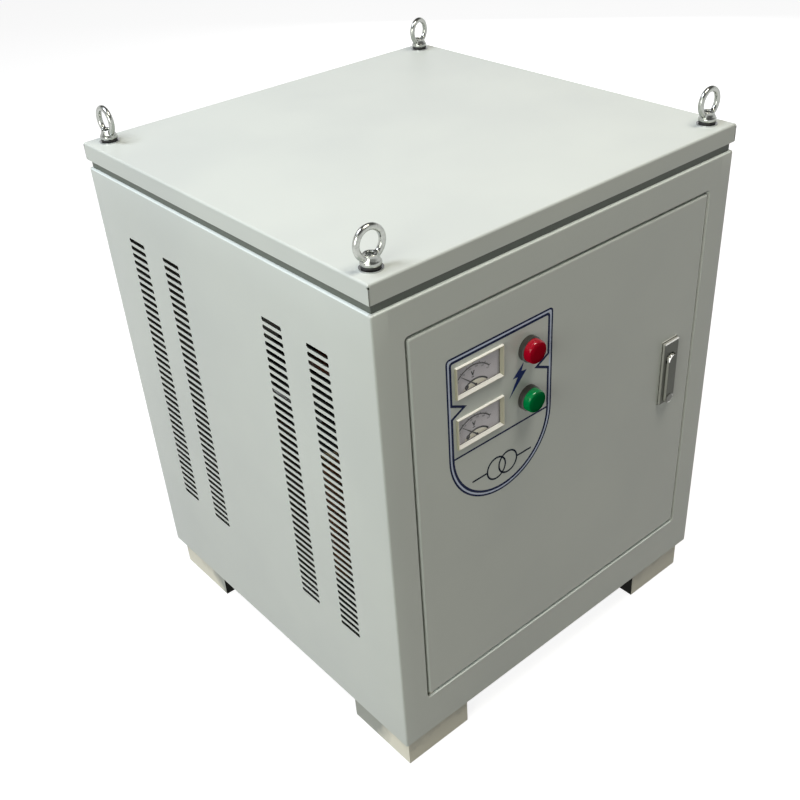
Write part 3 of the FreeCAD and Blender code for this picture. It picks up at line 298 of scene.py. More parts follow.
# The core is a stack of 0.35 mm silicon steel sheets, varnished against rust. The edges of the
# sheets run across the stack as fine dark lines, drawn 2 mm apart so that they show.
laminations, tree = new_material("varnished_laminations")
place = add_node(tree, "TexCoord")
stack = add_node(tree, "TexWave", {"Vector": place.outputs["Object"], "Scale": math.tau / 20 / 0.002,
                                   "Distortion": 0.4, "Detail": 1.0}, bands_direction="Y")
bloom = add_node(tree, "TexNoise", {"Vector": place.outputs["Object"], "Scale": 1000 / 40.0,
                                    "Detail": 4.0})
mixed = add_node(tree, "Math", {0: stack.outputs[0], 1: bloom.outputs[0]}, operation="MULTIPLY")
shade = add_node(tree, "Mix", {0: mixed.outputs[0], 6: srgb("#2C2F33"), 7: srgb("#5B5F63")},
                 data_type="RGBA")
edges = add_node(tree, "Bump", {"Height": stack.outputs[0], "Distance": 0.0003, "Strength": 0.5})
sheet_edges = add_node(tree, "BsdfPrincipled", {"Base Color": shade.outputs[2], "Roughness": 0.45,
                                                "Metallic": 0.6, "Normal": edges.outputs[0]})
add_node(tree, "OutputMaterial", {"Surface": sheet_edges.outputs[0]})
wear(laminations, "laminated_core")

# The core stands on two rails bent from galvanised strip, whose zinc has frozen in spangles
# about 12 mm across.
galvanised, tree = new_material("galvanised_strip")
place = add_node(tree, "TexCoord")
spangle = add_node(tree, "TexVoronoi", {"Vector": place.outputs["Object"], "Scale": 1000 / 12.0})
flake = add_node(tree, "SeparateColor", {"Color": spangle.outputs["Color"]})
shade = add_node(tree, "Mix", {0: flake.outputs[0], 6: srgb("#8E9193"), 7: srgb("#BBBEBF")},
                 data_type="RGBA")
zinc = add_node(tree, "BsdfPrincipled", {"Base Color": shade.outputs[2], "Roughness": 0.5, "Metallic": 0.5})
add_node(tree, "OutputMaterial", {"Surface": zinc.outputs[0]})
wear(galvanised, "core_rails")

# Four channel beams clamp the yokes. They are pressed from 4 mm plate and dipped in dark grey
# enamel, which runs into soft ripples.
dark_enamel = mottled("dark_grey_enamel", 6.0, 2.0, "#33383B", "#444A4D",
                      {"Roughness": 0.36, "IOR": 1.5}, relief=(0.0001, 0.5))
wear(dark_enamel, "lower_clamp_beams", "upper_clamp_beams")

# Bolts, nuts, studs and washers are turned or stamped steel with bright zinc plate: fine turning
# marks, drawn 1.2 mm long so that they show, and a cool shine.
bright_zinc, tree = new_material("bright_zinc_plate")
place = add_node(tree, "TexCoord")
fine = add_node(tree, "Mapping", {"Vector": place.outputs["Object"], "Scale": (1.0, 1.0, 6.0)})
marks = add_node(tree, "TexNoise", {"Vector": fine.outputs[0], "Scale": 1000 / 1.2, "Detail": 2.0})
shade = add_node(tree, "Mix", {0: marks.outputs[0], 6: srgb("#A3A5A6"), 7: srgb("#D2D4D4")},
                 data_type="RGBA")
turned_marks = add_node(tree, "Bump", {"Height": marks.outputs[0], "Distance": 0.00003, "Strength": 0.4})
plate = add_node(tree, "BsdfPrincipled", {"Base Color": shade.outputs[2], "Roughness": 0.27,
                                          "Metallic": 1.0, "Normal": turned_marks.outputs[0]})
add_node(tree, "OutputMaterial", {"Surface": plate.outputs[0]})
wear(bright_zinc, "rail_bolts", "clamp_studs", "terminal_studs", "earth_stud")

# On each limb sits an inner winding in a tube of pressboard, with the outer winding round it.
# Both are flat copper strip wrapped in glass tape, baked in amber varnish: glossy and uneven.
winding_varnish, tree = new_material("varnished_strip_winding")
place = add_node(tree, "TexCoord")
pools = add_node(tree, "TexNoise", {"Vector": place.outputs["Object"], "Scale": 1000 / 22.0,
                                    "Detail": 4.0})
tape = add_node(tree, "TexNoise", {"Vector": place.outputs["Object"], "Scale": 1000 / 1.6, "Detail": 2.0})
part = add_node(tree, "MapRange", {"Value": pools.outputs[0], "From Min": 0.35, "From Max": 0.7})
shade = add_node(tree, "Mix", {0: part.outputs[0], 6: srgb("#6A3512"), 7: srgb("#A2612B")},
                 data_type="RGBA")
weave = add_node(tree, "Bump", {"Height": tape.outputs[0], "Distance": 0.00008, "Strength": 0.5})
amber = add_node(tree, "BsdfPrincipled", {"Base Color": shade.outputs[2], "Roughness": 0.34, "IOR": 1.5,
                                          "Coat Weight": 0.6, "Coat Roughness": 0.15,
                                          "Normal": weave.outputs[0]})
add_node(tree, "OutputMaterial", {"Surface": amber.outputs[0]})
wear(winding_varnish, "inner_windings")
winding_low, winding_high, turns = 167.0, 347.0, 30
limb_pitch, half_x, half_y, corner, wall = 155.0, 76.0, 96.0, 30.0, 18.0
turn_pitch = (winding_high - winding_low) / turns
groove, shoulder, shoulder_height, flat_height, corner_steps = 1.1, 0.25, 0.6, 1.6, 8
for limb, phase in zip((-limb_pitch, 0.0, limb_pitch), "abc"):
    profile = [(wall, winding_low), (wall, winding_high)]
    for step in range(turns):
        top = winding_high - step * turn_pitch
        bottom = top - turn_pitch
        profile += [(groove, top), (shoulder, top - shoulder_height), (0.0, top - flat_height),
                    (0.0, bottom + flat_height), (shoulder, bottom + shoulder_height)]
    profile.append((groove, winding_low))
    around = []
    for sx, sy, start in ((1, 1, 0), (-1, 1, 90), (-1, -1, 180), (1, -1, 270)):
        cx, cy = sx * (half_x - corner), sy * (half_y - corner)
        for step in range(corner_steps + 1):
            angle = math.radians(start + 90.0 * step / corner_steps)
            around.append((cx, cy, math.cos(angle), math.sin(angle)))
    bm = bmesh.new()
    rings = []
    for depth, z in profile:
        ring = []
        for cx, cy, ux, uy in around:
            reach = corner - depth
            ring.append(bm.verts.new(((limb + cx + ux * reach) * mm, (cy + uy * reach) * mm, z * mm)))
        rings.append(ring)
    for low, high in zip(rings, rings[1:] + rings[:1]):
        for k in range(len(around)):
            after = (k + 1) % len(around)
            bm.faces.new((low[k], low[after], high[after], high[k]))
    winding = new_piece("wound_outer_" + phase, "cabinet", winding_varnish, bm, 50.0)
    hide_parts("outer_winding_" + phase)

# The tubes between the windings are pressboard, bent hot from tan sheet. Its fibres run round the
# tube and leave the skin dull and streaky; they are drawn 4 mm long so that they show.
pressboard, tree = new_material("pressboard")
place = add_node(tree, "TexCoord")
along = add_node(tree, "Mapping", {"Vector": place.outputs["Object"], "Scale": (1.0, 1.0, 4.0)})
fibre = add_node(tree, "TexNoise", {"Vector": along.outputs[0], "Scale": 1000 / 4.0, "Detail": 6.0})
shade = add_node(tree, "Mix", {0: fibre.outputs[0], 6: srgb("#B0966A"), 7: srgb("#D6C096")},
                 data_type="RGBA")
board = add_node(tree, "BsdfPrincipled", {"Base Color": shade.outputs[2], "Roughness": 0.75, "IOR": 1.5})
add_node(tree, "OutputMaterial", {"Surface": board.outputs[0]})
wear(pressboard, "winding_barriers")

# Moulded blocks of glass-filled resin hold the windings between the beams: pale, with a dull
# skin in which the glass shows as fine streaks.
filled_resin = mottled("glass_filled_resin", 5.0, 4.0, "#B9AE7A", "#D8CE9F",
                       {"Roughness": 0.5, "IOR": 1.54})
wear(filled_resin, "winding_blocks")

# The terminal board is 10 mm phenolic laminate, sawn to size, and stands on two red moulded
# posts. The laminate is dark red-brown and half glossy, the posts have a moulded skin.
laminate = mottled("phenolic_laminate", 10.0, 4.0, "#4C230D", "#6F3B22", {"Roughness": 0.33, "IOR": 1.6})
wear(laminate, "terminal_board")
red_resin = mottled("moulded_red_resin", 8.0, 2.0, "#52170E", "#6A2016", {"Roughness": 0.35, "IOR": 1.54})
wear(red_resin, "board_posts")

# The leads and star links are bare copper bar, bent cold and drilled. Handling has left them
# unevenly tarnished, from pink to brown.
copper_bar, tree = new_material("bare_copper_bar")
place = add_node(tree, "TexCoord")
tarnish = add_node(tree, "TexNoise", {"Vector": place.outputs["Object"], "Scale": 1000 / 18.0,
                                      "Detail": 4.0})
part = add_node(tree, "MapRange", {"Value": tarnish.outputs[0], "From Min": 0.35, "From Max": 0.65})
shade = add_node(tree, "Mix", {0: part.outputs[0], 6: srgb("#9A5A35"), 7: srgb("#C98759")},
                 data_type="RGBA")
drawn = add_node(tree, "MapRange", {"Value": tarnish.outputs[0], "From Min": 0.3, "From Max": 0.7,
                                    "To Min": 0.28, "To Max": 0.45})
bar = add_node(tree, "BsdfPrincipled", {"Base Color": shade.outputs[2], "Roughness": drawn.outputs[0],
                                        "Metallic": 1.0})
add_node(tree, "OutputMaterial", {"Surface": bar.outputs[0]})
wear(copper_bar, "winding_leads", "star_links")

# Each side is a pan of 1.5 mm sheet with its edges folded in at the front, rear and top. Four
# columns of 40 slots with round ends are punched through its powder coat for the cooling air. The
# cut edges inside them are painted near black as painted shade in the slots.
dark_seam_and_slot_shade = mottled("dark_cut_steel_and_painted_shade", 3.0, 2.0, "#1C1F1B", "#33362F",
                    {"Roughness": 0.7, "IOR": 1.5, "Specular IOR Level": 0.3})
sheet, fold_radius, fold_steps, sharp_fold, close_by, nearly = 0.0015, 0.0025, 4, 1.0, 0.001, 0.00001
side_x, flange = 0.275, 0.020
side_front, side_rear, side_low, side_top = -0.275, 0.2735, 0.05, 0.65
slot_columns = (-0.182, -0.102, 0.104, 0.184)
slot_rows = [0.186 + 0.010 * row for row in range(40)]
slot_half_length, slot_half_height, slot_end = 0.018, 0.00275, 0.0022
cell_half_width, cell_half_height, end_steps = 0.0205, 0.005, 4
y_lines = [y + s * cell_half_width for y in slot_columns for s in (-1, 1)]
y_lines = sorted(y_lines + [side_front, side_rear])
rows_below, rows_above = [0.10, 0.14], [0.61]
z_lines = [side_low] + rows_below + [z - cell_half_height for z in slot_rows]
z_lines += [slot_rows[-1] + cell_half_height] + rows_above + [side_top]
for side, node in ((-1, "side_panel_left"), (1, "side_panel_right")):
    bm = bmesh.new()
    made = {}

    def point(x, y, z):
        """One vertex for each place."""
        key = (round(x, 5), round(y, 5), round(z, 5))
        if key not in made:
            made[key] = bm.verts.new((x * side, y, z))
        return made[key]

    for y0, y1 in zip(y_lines, y_lines[1:]):
        for z0, z1 in zip(z_lines, z_lines[1:]):
            middle_y, middle_z = (y0 + y1) / 2, (z0 + z1) / 2
            cell = [point(side_x, y, z) for y, z in ((y0, z0), (y1, z0), (y1, z1), (y0, z1))]
            in_column = min(abs(middle_y - column) for column in slot_columns) < close_by
            in_row = min(abs(middle_z - row) for row in slot_rows) < close_by
            if not (in_column and in_row):
                bm.faces.new(cell)
                continue
            rim = []
            for sy, sz, start in ((-1, -1, 180), (1, -1, 270), (1, 1, 0), (-1, 1, 90)):
                bend = []
                for step in range(end_steps + 1):
                    angle = math.radians(start + 90.0 * step / end_steps)
                    y = middle_y + sy * (slot_half_length - slot_end) + slot_end * math.cos(angle)
                    z = middle_z + sz * (slot_half_height - slot_end) + slot_end * math.sin(angle)
                    bend.append(point(side_x, y, z))
                rim.append(bend)
            for quarter, bend in enumerate(rim):
                for a, b in zip(bend, bend[1:]):
                    bm.faces.new((cell[quarter], b, a))
                after = (quarter + 1) % 4
                bm.faces.new((cell[quarter], cell[after], rim[after][0], bend[-1]))
    inner_x = side_x - flange
    for z0, z1 in zip(z_lines, z_lines[1:]):
        for y in (side_front, side_rear):
            strip = ((side_x, y, z0), (side_x, y, z1), (inner_x, y, z1), (inner_x, y, z0))
            bm.faces.new([point(*corner_point) for corner_point in strip])
    for y0, y1 in zip(y_lines, y_lines[1:]):
        strip = ((side_x, y0), (side_x, y1), (inner_x, y1), (inner_x, y0))
        bm.faces.new([point(x, y, side_top) for x, y in strip])
    bmesh.ops.recalc_face_normals(bm, faces=bm.faces)
    folds = []
    for edge in bm.edges:
        on_rear = all(abs(vertex.co.y - side_rear) < nearly for vertex in edge.verts)
        on_top = all(abs(vertex.co.z - side_top) < nearly for vertex in edge.verts)
        is_fold = len(edge.link_faces) == 2 and edge.calc_face_angle(0.0) > sharp_fold
        if is_fold and not (on_rear and on_top):
            folds.append(edge)
    bmesh.ops.bevel(bm, geom=folds, offset=fold_radius, segments=fold_steps, profile=0.5, affect="EDGES",
                    clamp_overlap=False)
    if sum(face.normal.x * side * face.calc_area() for face in bm.faces) < 0:
        bmesh.ops.reverse_faces(bm, faces=bm.faces)
    pan = bpy.data.meshes.new("slotted_" + node)
    bm.to_mesh(pan)
    bm.free()
    panel = new_piece("slotted_" + node, "cabinet", powder_coat, pan)
    thick = panel.modifiers.new("sheet", "SOLIDIFY")
    thick.thickness = sheet
    thick.offset = -1.0
    thick.use_even_offset = True
    graph = bpy.context.evaluated_depsgraph_get()
    folded = bpy.data.meshes.new_from_object(panel.evaluated_get(graph))
    panel.modifiers.clear()
    panel.data = folded
    folded.shade_smooth()
    folded.set_sharp_from_angle(angle=math.radians(35.0))
    folded.materials.append(dark_seam_and_slot_shade)
    # The faces inside the slots take the second material, the painted shade.
    for face in folded.polygons:
        in_rows = slot_rows[0] - cell_half_height < face.center.z < slot_rows[-1] + cell_half_height
        in_columns = min(abs(face.center.y - column) for column in slot_columns) < cell_half_width
        if in_rows and in_columns and abs(face.normal.x) < 0.5:
            face.material_index = 1
    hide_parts(node)

# The front frame and the back are 1.5 mm sheet of the same coat. The frame's door opening is
# folded back and in again as a stop; the back is held by eight pan-head screws.
wear(powder_coat, "front_frame", "rear_panel")
wear(bright_zinc, "rear_screws")

# The collar that carries the lid is spot welded to the cabinet's top. Its coat is painted dark
# grey-green as painted shade in the gap under the lid, and is flatter than the rest.
collar_painted_shade = mottled("collar_coat_painted_shade", 2.0, 1.0, "#60675F", "#6A716A",
                    {"Roughness": 0.55, "IOR": 1.5}, relief=(0.00006, 0.5))
wear(collar_painted_shade, "lid_collar")

# The lid is a shallow tray folded from one sheet, its four corners slit and left open as a thin
# dark seam with a small notch at its top. It rests on the collar and is held by the studs of the
# four lifting eyes.
wear(powder_coat, "top_cover")
wear(bright_zinc, "lifting_studs", "flat_washers")
lid_side, lid_low, seam_top, seam_width = 275.0, 661.0, 679.2, 0.55
notch_width, notch_height, seam_lift, seam_sink = 1.45, 2.0, 0.04, 0.2
sections = ((lid_side - seam_width, lid_low), (lid_side - notch_width, seam_top - notch_height))
box_faces = ((0, 1, 2, 3), (4, 5, 6, 7), (0, 1, 5, 4), (1, 2, 6, 5), (2, 3, 7, 6), (3, 0, 4, 7))
bm = bmesh.new()
for across in (-1, 1):
    for along_y in (-1, 1):
        for seam_end, seam_low in sections:
            seam = ((seam_end, seam_low), (lid_side, seam_low), (lid_side, seam_top), (seam_end, seam_top))
            spots = [bm.verts.new((x * across * mm, (lid_side + out) * along_y * mm, z * mm))
                     for out in (seam_lift, -seam_sink) for x, z in seam]
            for box_face in box_faces:
                bm.faces.new([spots[i] for i in box_face])
new_piece("open_corner_seams", "cabinet", dark_seam_and_slot_shade, bm)

# Over each flat washer lies a washer moulded of the same black rubber as the grommets. The stud
# passes through it, and the eye nut squeezes it round at its rim.
lid_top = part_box("top_cover")[1].z
rim = ((4.2, 1.5), (8.8, 1.5), (9.3, 1.7), (9.7, 2.2), (9.85, 2.8), (9.85, 3.3), (9.7, 3.9), (9.3, 4.3),
       (8.8, 4.5), (4.2, 4.5))
eye_x = 0.251
bm = bmesh.new()
for x, y in ((-eye_x, -eye_x), (eye_x, -eye_x), (-eye_x, eye_x), (eye_x, eye_x)):
    lathe(bm, [(radius * mm, z * mm) for radius, z in rim], (x, y, lid_top))
washers = new_piece("squeezed_rubber_washers", "cabinet", black_rubber, bm)
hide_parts("rubber_washers")

# The eye nuts are steel castings, tumbled and zinc plated: the ring runs into the neck in a soft
# flare, and the bright skin is faintly uneven from the mould.
zinc_casting = mottled("zinc_plated_casting", 3.0, 3.0, "#9B9E99", "#BFC2BC",
                       {"Roughness": 0.2, "Metallic": 1.0}, relief=(0.0004, 0.6))
for place_name in ("front_left", "front_right", "rear_left", "rear_right"):
    node = "eye_nut_" + place_name
    eye = new_piece("cast_" + node, "cabinet", zinc_casting, nodes[node].data.copy())
    remesh = eye.modifiers.new("one casting", "REMESH")
    remesh.mode = "VOXEL"
    remesh.voxel_size = 0.0007
    soften = eye.modifiers.new("flare", "SMOOTH")
    soften.factor = 0.5
    soften.iterations = 8
    graph = bpy.context.evaluated_depsgraph_get()
    casting = bpy.data.meshes.new_from_object(eye.evaluated_get(graph))
    eye.modifiers.clear()
    eye.data = casting
    casting.shade_smooth()
    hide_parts(node)

# The door is an inset pan of the same sheet and coat. It turns on two hidden pin hinges, whose
# lugs and blocks are welded on; a nylon washer under the lower block takes the door's weight.
wear(powder_coat, "door_panel", "hinge_lugs", "door_hinge_blocks")
wear(bright_zinc, "hinge_pins")
nylon = mottled("natural_nylon", 2.0, 2.0, "#DCD8CA", "#E8E5DB", {"Roughness": 0.45, "IOR": 1.53})
wear(nylon, "hinge_washer")

# A pale grey strip fills most of the gap along the opening's right side, where the door shuts.
# It is painted light, standing for the light that falls into that gap; it is dull.
lit_gap_skin = mottled("painted_light_grey_strip", 1.5, 2.0, "#E0E6E0", "#ECF0EA", {"Roughness": 0.8, "IOR": 1.45})
lit_gap_x, lit_gap_y, lit_gap_low, lit_gap_high, lit_gap_width, lit_gap_half_depth = 235.85, -272.7, 111.0, 610.0, 2.3, 1.7


def flat_strip(bm, path, width, face, lift, closed=False):
    """A printed line: a ribbon along points (x, z) in millimetres, mitred, lifted off a face at y."""
    count = len(path)
    half, least_mitre = width / 2, 0.35
    rows = []
    for i in range(count):
        here = Vector(path[i])
        before = Vector(path[i - 1]) if closed or i > 0 else None
        after = Vector(path[(i + 1) % count]) if closed or i < count - 1 else None
        into = (here - before).normalized() if before is not None else (after - here).normalized()
        onward = (after - here).normalized() if after is not None else into
        normal_in = Vector((-into.y, into.x))
        mitre = (normal_in + Vector((-onward.y, onward.x))).normalized()
        reach = half / max(mitre.dot(normal_in), least_mitre)
        row = []
        for end in (here + mitre * reach, here - mitre * reach):
            for y in (face - lift, face + lift):
                row.append(bm.verts.new((end.x * mm, y * mm, end.y * mm)))
        rows.append(row)
    spans = list(zip(rows, rows[1:])) + ([(rows[-1], rows[0])] if closed else [])
    for a, b in spans:
        for i, j in ((0, 1), (1, 3), (3, 2), (2, 0)):
            bm.faces.new((a[i], a[j], b[j], b[i]))
    if not closed:
        for row in (rows[0], rows[-1]):
            bm.faces.new((row[0], row[1], row[3], row[2]))


bm = bmesh.new()
flat_strip(bm, ((lit_gap_x, lit_gap_low), (lit_gap_x, lit_gap_high)), lit_gap_width, lit_gap_y, lit_gap_half_depth)
new_piece("right_gap_painted_light", "cabinet", lit_gap_skin, bm)

# A thin white line along the fold of the sill, under the door's lower edge, is a painted
# highlight.
painted_highlight_coat = mottled("painted_highlight_white", 12.0, 3.0, "#EAF3F0", "#F2FAF6", {"Roughness": 0.3, "IOR": 1.5})
sill_end, sill_fold, sill_y, sill_z, sill_depth, skin = 233.0, 1.28, -273.8, 107.8, 2.8, 0.12


def overlay(bm, rows, sink):
    """A thin closed skin through rows of points (x, y, z) in millimetres; sink leads to its back."""
    sheets = []
    for shift in (Vector((0, 0, 0)), Vector(sink)):
        sheets.append([[bm.verts.new((Vector(spot) + shift) * mm) for spot in row] for row in rows])
    rims = []
    for sheet_rows in sheets:
        for low, high in zip(sheet_rows, sheet_rows[1:]):
            for k in range(len(low) - 1):
                bm.faces.new((low[k], low[k + 1], high[k + 1], high[k]))
        rims.append(sheet_rows[0] + [row[-1] for row in sheet_rows[1:-1]] + sheet_rows[-1][::-1]
                    + [row[0] for row in sheet_rows[-2:0:-1]])
    count = len(rims[0])
    for k in range(count):
        after = (k + 1) % count
        bm.faces.new((rims[0][k], rims[0][after], rims[1][after], rims[1][k]))


profile = [(sill_y - sill_fold * math.cos(t), sill_z + sill_fold * math.sin(t))
           for t in [math.radians(22.5 * k) for k in range(5)]]
profile.append((sill_y + sill_depth, sill_z + sill_fold))
bm = bmesh.new()
overlay(bm, [[(x, y, z) for x in (-sill_end, sill_end)] for y, z in profile], (0.0, skin, -skin))
new_piece("sill_painted_highlight", "cabinet", painted_highlight_coat, bm)

# The folds along the cabinet's top, below the lid, carry the same painted highlight, on the
# front and on both sides.
fold, side_face, ledge, body_top, fold_end, raised, skin = 2.5, 275.0, 271.3, 650.0, 270.0, 0.06, 0.1
centre_out, centre_z, fold_skin = side_face - fold, body_top - fold, fold + raised
profile = [(centre_out + fold_skin * math.cos(t), centre_z + fold_skin * math.sin(t))
           for t in [math.radians(30.0 + 15.0 * k) for k in range(5)]]
profile.append((ledge, body_top + raised))
bm = bmesh.new()
overlay(bm, [[(x, -out, z) for x in (-fold_end, fold_end)] for out, z in profile], (0.0, skin, -skin))
for side in (-1, 1):
    rows = [[(out * side, y, z) for y in (-fold_end, fold_end)] for out, z in profile]
    overlay(bm, rows, (-skin * side, 0.0, -skin))
new_piece("top_folds_painted_highlight", "cabinet", painted_highlight_coat, bm)

# The door's face is screen printed: a shield in two navy outlines with pale blue between them, a
# flash, a rule and the drawing symbol of a two-winding transformer. The ink dries matt and thin,
# drawn 0.12 mm thick. The flash is a bluer navy than the lines.
door_face, ink = -275.0, 0.12
navy_ink, tree = new_material("screen_printed_navy")
place = add_node(tree, "TexCoord")
mesh_marks = add_node(tree, "TexNoise", {"Vector": place.outputs["Object"], "Scale": 1000 / 4.0,
                                         "Detail": 3.0})
shade = add_node(tree, "Mix", {0: mesh_marks.outputs[0], 6: srgb("#0C1738"), 7: srgb("#14214A")},
                 data_type="RGBA")
flash_middle, flash_reach = (-0.086, -0.275, 0.496), 0.023
away = add_node(tree, "VectorMath", {0: place.outputs["Object"], 1: flash_middle}, operation="DISTANCE")
in_flash = add_node(tree, "Math", {0: away.outputs["Value"], 1: flash_reach}, operation="LESS_THAN")
shade = add_node(tree, "Mix", {0: in_flash.outputs[0], 6: shade.outputs[2], 7: srgb("#142A68")},
                 data_type="RGBA")
ink_film = add_node(tree, "BsdfPrincipled", {"Base Color": shade.outputs[2], "Roughness": 0.55, "IOR": 1.5,
                                             "Specular IOR Level": 0.08})
add_node(tree, "OutputMaterial", {"Surface": ink_film.outputs[0]})
pale_ink = mottled("screen_printed_pale_blue", 4.0, 3.0, "#CEDAF2", "#D8E2F8",
                   {"Roughness": 0.55, "IOR": 1.5})
shield_x, shield_z, shield_radius, shoulder_radius = -109.3, 439.5, 77.2, 4.0
corner_left, corner_right, corner_z = -182.5, -36.1, 559.6


def arc(x, z, radius, start, end, steps):
    """Points (x, z) along an arc, angles in degrees from the right and upwards."""
    points = []
    for k in range(steps + 1):
        angle = math.radians(start + (end - start) * k / steps)
        points.append((x + radius * math.cos(angle), z + radius * math.sin(angle)))
    return points


def flat_patch(bm, outline, face, lift):
    """A printed solid shape inside an outline of points (x, z) in millimetres."""
    front = [bm.verts.new((x * mm, (face - lift) * mm, z * mm)) for x, z in outline]
    back = [bm.verts.new((x * mm, (face + lift) * mm, z * mm)) for x, z in outline]
    bm.faces.new(front)
    bm.faces.new(list(reversed(back)))
    for i in range(len(outline)):
        j = (i + 1) % len(outline)
        bm.faces.new((front[i], back[i], back[j], front[j]))


def shield(inset):
    """The shield's outline, moved in by a distance: square shoulders above and half round below."""
    points = arc(corner_left, corner_z, shoulder_radius - inset, 180, 90, 4)
    points += arc(corner_right, corner_z, shoulder_radius - inset, 90, 0, 4)
    return points + arc(shield_x, shield_z, shield_radius - inset, 0, -180, 40)


band_inset, band_width, band_ink = 2.4, 2.6, 0.072
bm = bmesh.new()
flat_strip(bm, shield(band_inset), band_width, door_face, band_ink, closed=True)
new_piece("printed_shield_ground", "door", pale_ink, bm)
outer_line, inner_line, thin_line = 2.2, 3.0, 2.2
inner_left, inner_right, inner_radius, inner_corner, inner_top = -181.7, -37.0, 72.4, 3.5, 555.2
notch_left, notch_right, notch_z = -163.5, -55.5, 499.5
rule_left, rule_right, rule_z = -180.8, -37.6, 438.8
inner = [(inner_left, 508.1), (notch_left, notch_z), (inner_left, 491.0)]
inner += arc(shield_x, shield_z, inner_radius, 180, 360, 40)
inner += [(inner_right, 491.0), (notch_right, notch_z), (inner_right, 509.0)]
inner += arc(inner_right - inner_corner, inner_top, inner_corner, 0, 90, 4)
inner += arc(inner_left + inner_corner, inner_top, inner_corner, 90, 180, 4)
bm = bmesh.new()
flat_strip(bm, shield(0.0), outer_line, door_face, ink, closed=True)
flat_strip(bm, inner, inner_line, door_face, ink, closed=True)
flat_strip(bm, ((rule_left, rule_z), (rule_right, rule_z)), thin_line, door_face, ink)
flash = ((-75.8, 514.4), (-92.4, 500.0), (-84.8, 499.5), (-97.5, 477.5), (-71.2, 503.6), (-78.9, 504.9))
flat_patch(bm, flash, door_face, ink)
new_piece("printed_shield", "door", navy_ink, bm)
black_ink = mottled("screen_printed_black", 4.0, 3.0, "#0C1626", "#121E30",
                    {"Roughness": 0.6, "IOR": 1.5, "Specular IOR Level": 0.06})
symbol_z, ring_radius = 395.1, 14.0
bm = bmesh.new()
for x in (-118.0, -100.0):
    flat_strip(bm, arc(x, symbol_z, ring_radius, 0, 360, 40)[:-1], thin_line, door_face, ink, closed=True)
for start, end in ((-154.9, -132.2), (-85.8, -62.7)):
    flat_strip(bm, ((start, symbol_z), (end, symbol_z)), thin_line, door_face, ink)
new_piece("printed_symbol", "door", black_ink, bm)

# Two voltmeters are pushed into the door from the front. Their cases are ivory ABS, injection
# moulded: a satin skin, faintly yellowed, with a soft sheen on the bevelled rim. Faces turned up
# are painted near white as painted light, faces turned left are painted grey as painted shade.
ivory_abs, tree = new_material("ivory_abs")
place = add_node(tree, "TexCoord")
yellowing = add_node(tree, "TexNoise", {"Vector": place.outputs["Object"], "Scale": 1000 / 30.0,
                                        "Detail": 2.0})
shade = add_node(tree, "Mix", {0: yellowing.outputs[0], 6: srgb("#F4EED6"), 7: srgb("#FBF7E8")},
                 data_type="RGBA")
# Painted light on faces turned up, painted shade on faces turned left.
facing = add_node(tree, "SeparateXYZ", {"Vector": place.outputs["Normal"]})
painted_top_light = add_node(tree, "MapRange", {"Value": facing.outputs["Z"], "From Min": 0.2, "From Max": 0.6})
shade = add_node(tree, "Mix", {0: painted_top_light.outputs[0], 6: shade.outputs[2], 7: srgb("#FFFFFA")},
                 data_type="RGBA")
painted_left_shade = add_node(tree, "MapRange", {"Value": facing.outputs["X"], "From Min": -0.2, "From Max": -0.6})
shade = add_node(tree, "Mix", {0: painted_left_shade.outputs[0], 6: shade.outputs[2], 7: srgb("#AEAB94")},
                 data_type="RGBA")
spark = add_node(tree, "TexNoise", {"Vector": place.outputs["Object"], "Scale": 1000 / 0.9, "Detail": 1.0})
moulded = add_node(tree, "Bump", {"Height": spark.outputs[0], "Distance": 0.00002, "Strength": 0.4})
abs_skin = add_node(tree, "BsdfPrincipled", {"Base Color": shade.outputs[2], "Roughness": 0.32, "IOR": 1.54,
                                             "Coat Weight": 0.2, "Normal": moulded.outputs[0]})
add_node(tree, "OutputMaterial", {"Surface": abs_skin.outputs[0]})
wear(ivory_abs, "meter_case_upper", "meter_case_lower")

# The dials are aluminium plates with a stoved grey-white enamel, behind windows of clear
# styrene. Scales, figures and needles are black. An ivory cover with a black edge and a zero
# screw hides the movement. A thin black strip along the window's right side and foot is a
# painted shadow of the window's edge.
dial_enamel = mottled("stoved_dial_enamel", 25.0, 2.0, "#C9C5CC", "#D6D2D9", {"Roughness": 0.4, "IOR": 1.5})
wear(dial_enamel, "meter_dials")
clear_styrene, tree = new_material("clear_styrene")
place = add_node(tree, "TexCoord")
haze = add_node(tree, "TexNoise", {"Vector": place.outputs["Object"], "Scale": 1000 / 16.0, "Detail": 2.0})
polish = add_node(tree, "MapRange", {"Value": haze.outputs[0], "To Min": 0.05, "To Max": 0.1})
through = add_node(tree, "BsdfTransparent")
sheen = add_node(tree, "BsdfAnisotropic", {"Roughness": polish.outputs[0]})
window = add_node(tree, "MixShader", {0: 0.02, 1: through.outputs[0], 2: sheen.outputs[0]})
add_node(tree, "OutputMaterial", {"Surface": window.outputs[0]})
wear(clear_styrene, "meter_windows")
dial_ink = mottled("black_dial_ink", 3.0, 2.0, "#131215", "#1E1D21",
                   {"Roughness": 0.5, "IOR": 1.5, "Specular IOR Level": 0.15})
wear(dial_ink, "meter_pointer_upper", "meter_pointer_lower")
meter_x, dial_y, cover_y, print_lift = -141.7, -273.5, -273.66, 0.06
scale_radius, scale_start, scale_end = 30.8, 138.0, 42.0
scale_across, scale_below, scale_width, divisions = 7.0, 20.2, 1.3, 30
long_tick, short_tick, long_tick_width, short_tick_width = 2.4, 1.4, 0.8, 0.45
figure_size, figure_inset, figure_step = 2.6, 2.6, 100
letter_across, letter_above, letter_half_width, letter_half_height, letter_line = 7.5, 1.5, 1.9, 2.7, 1.6
underline_half, underline_below, underline_width = 1.8, 4.6, 1.1
cover_across, cover_below, cover_radius, cover_start, cover_end = 4.0, 30.8, 24.0, 138.0, 42.0
edge_start, edge_end, edge_width = 118.0, 44.0, 2.0
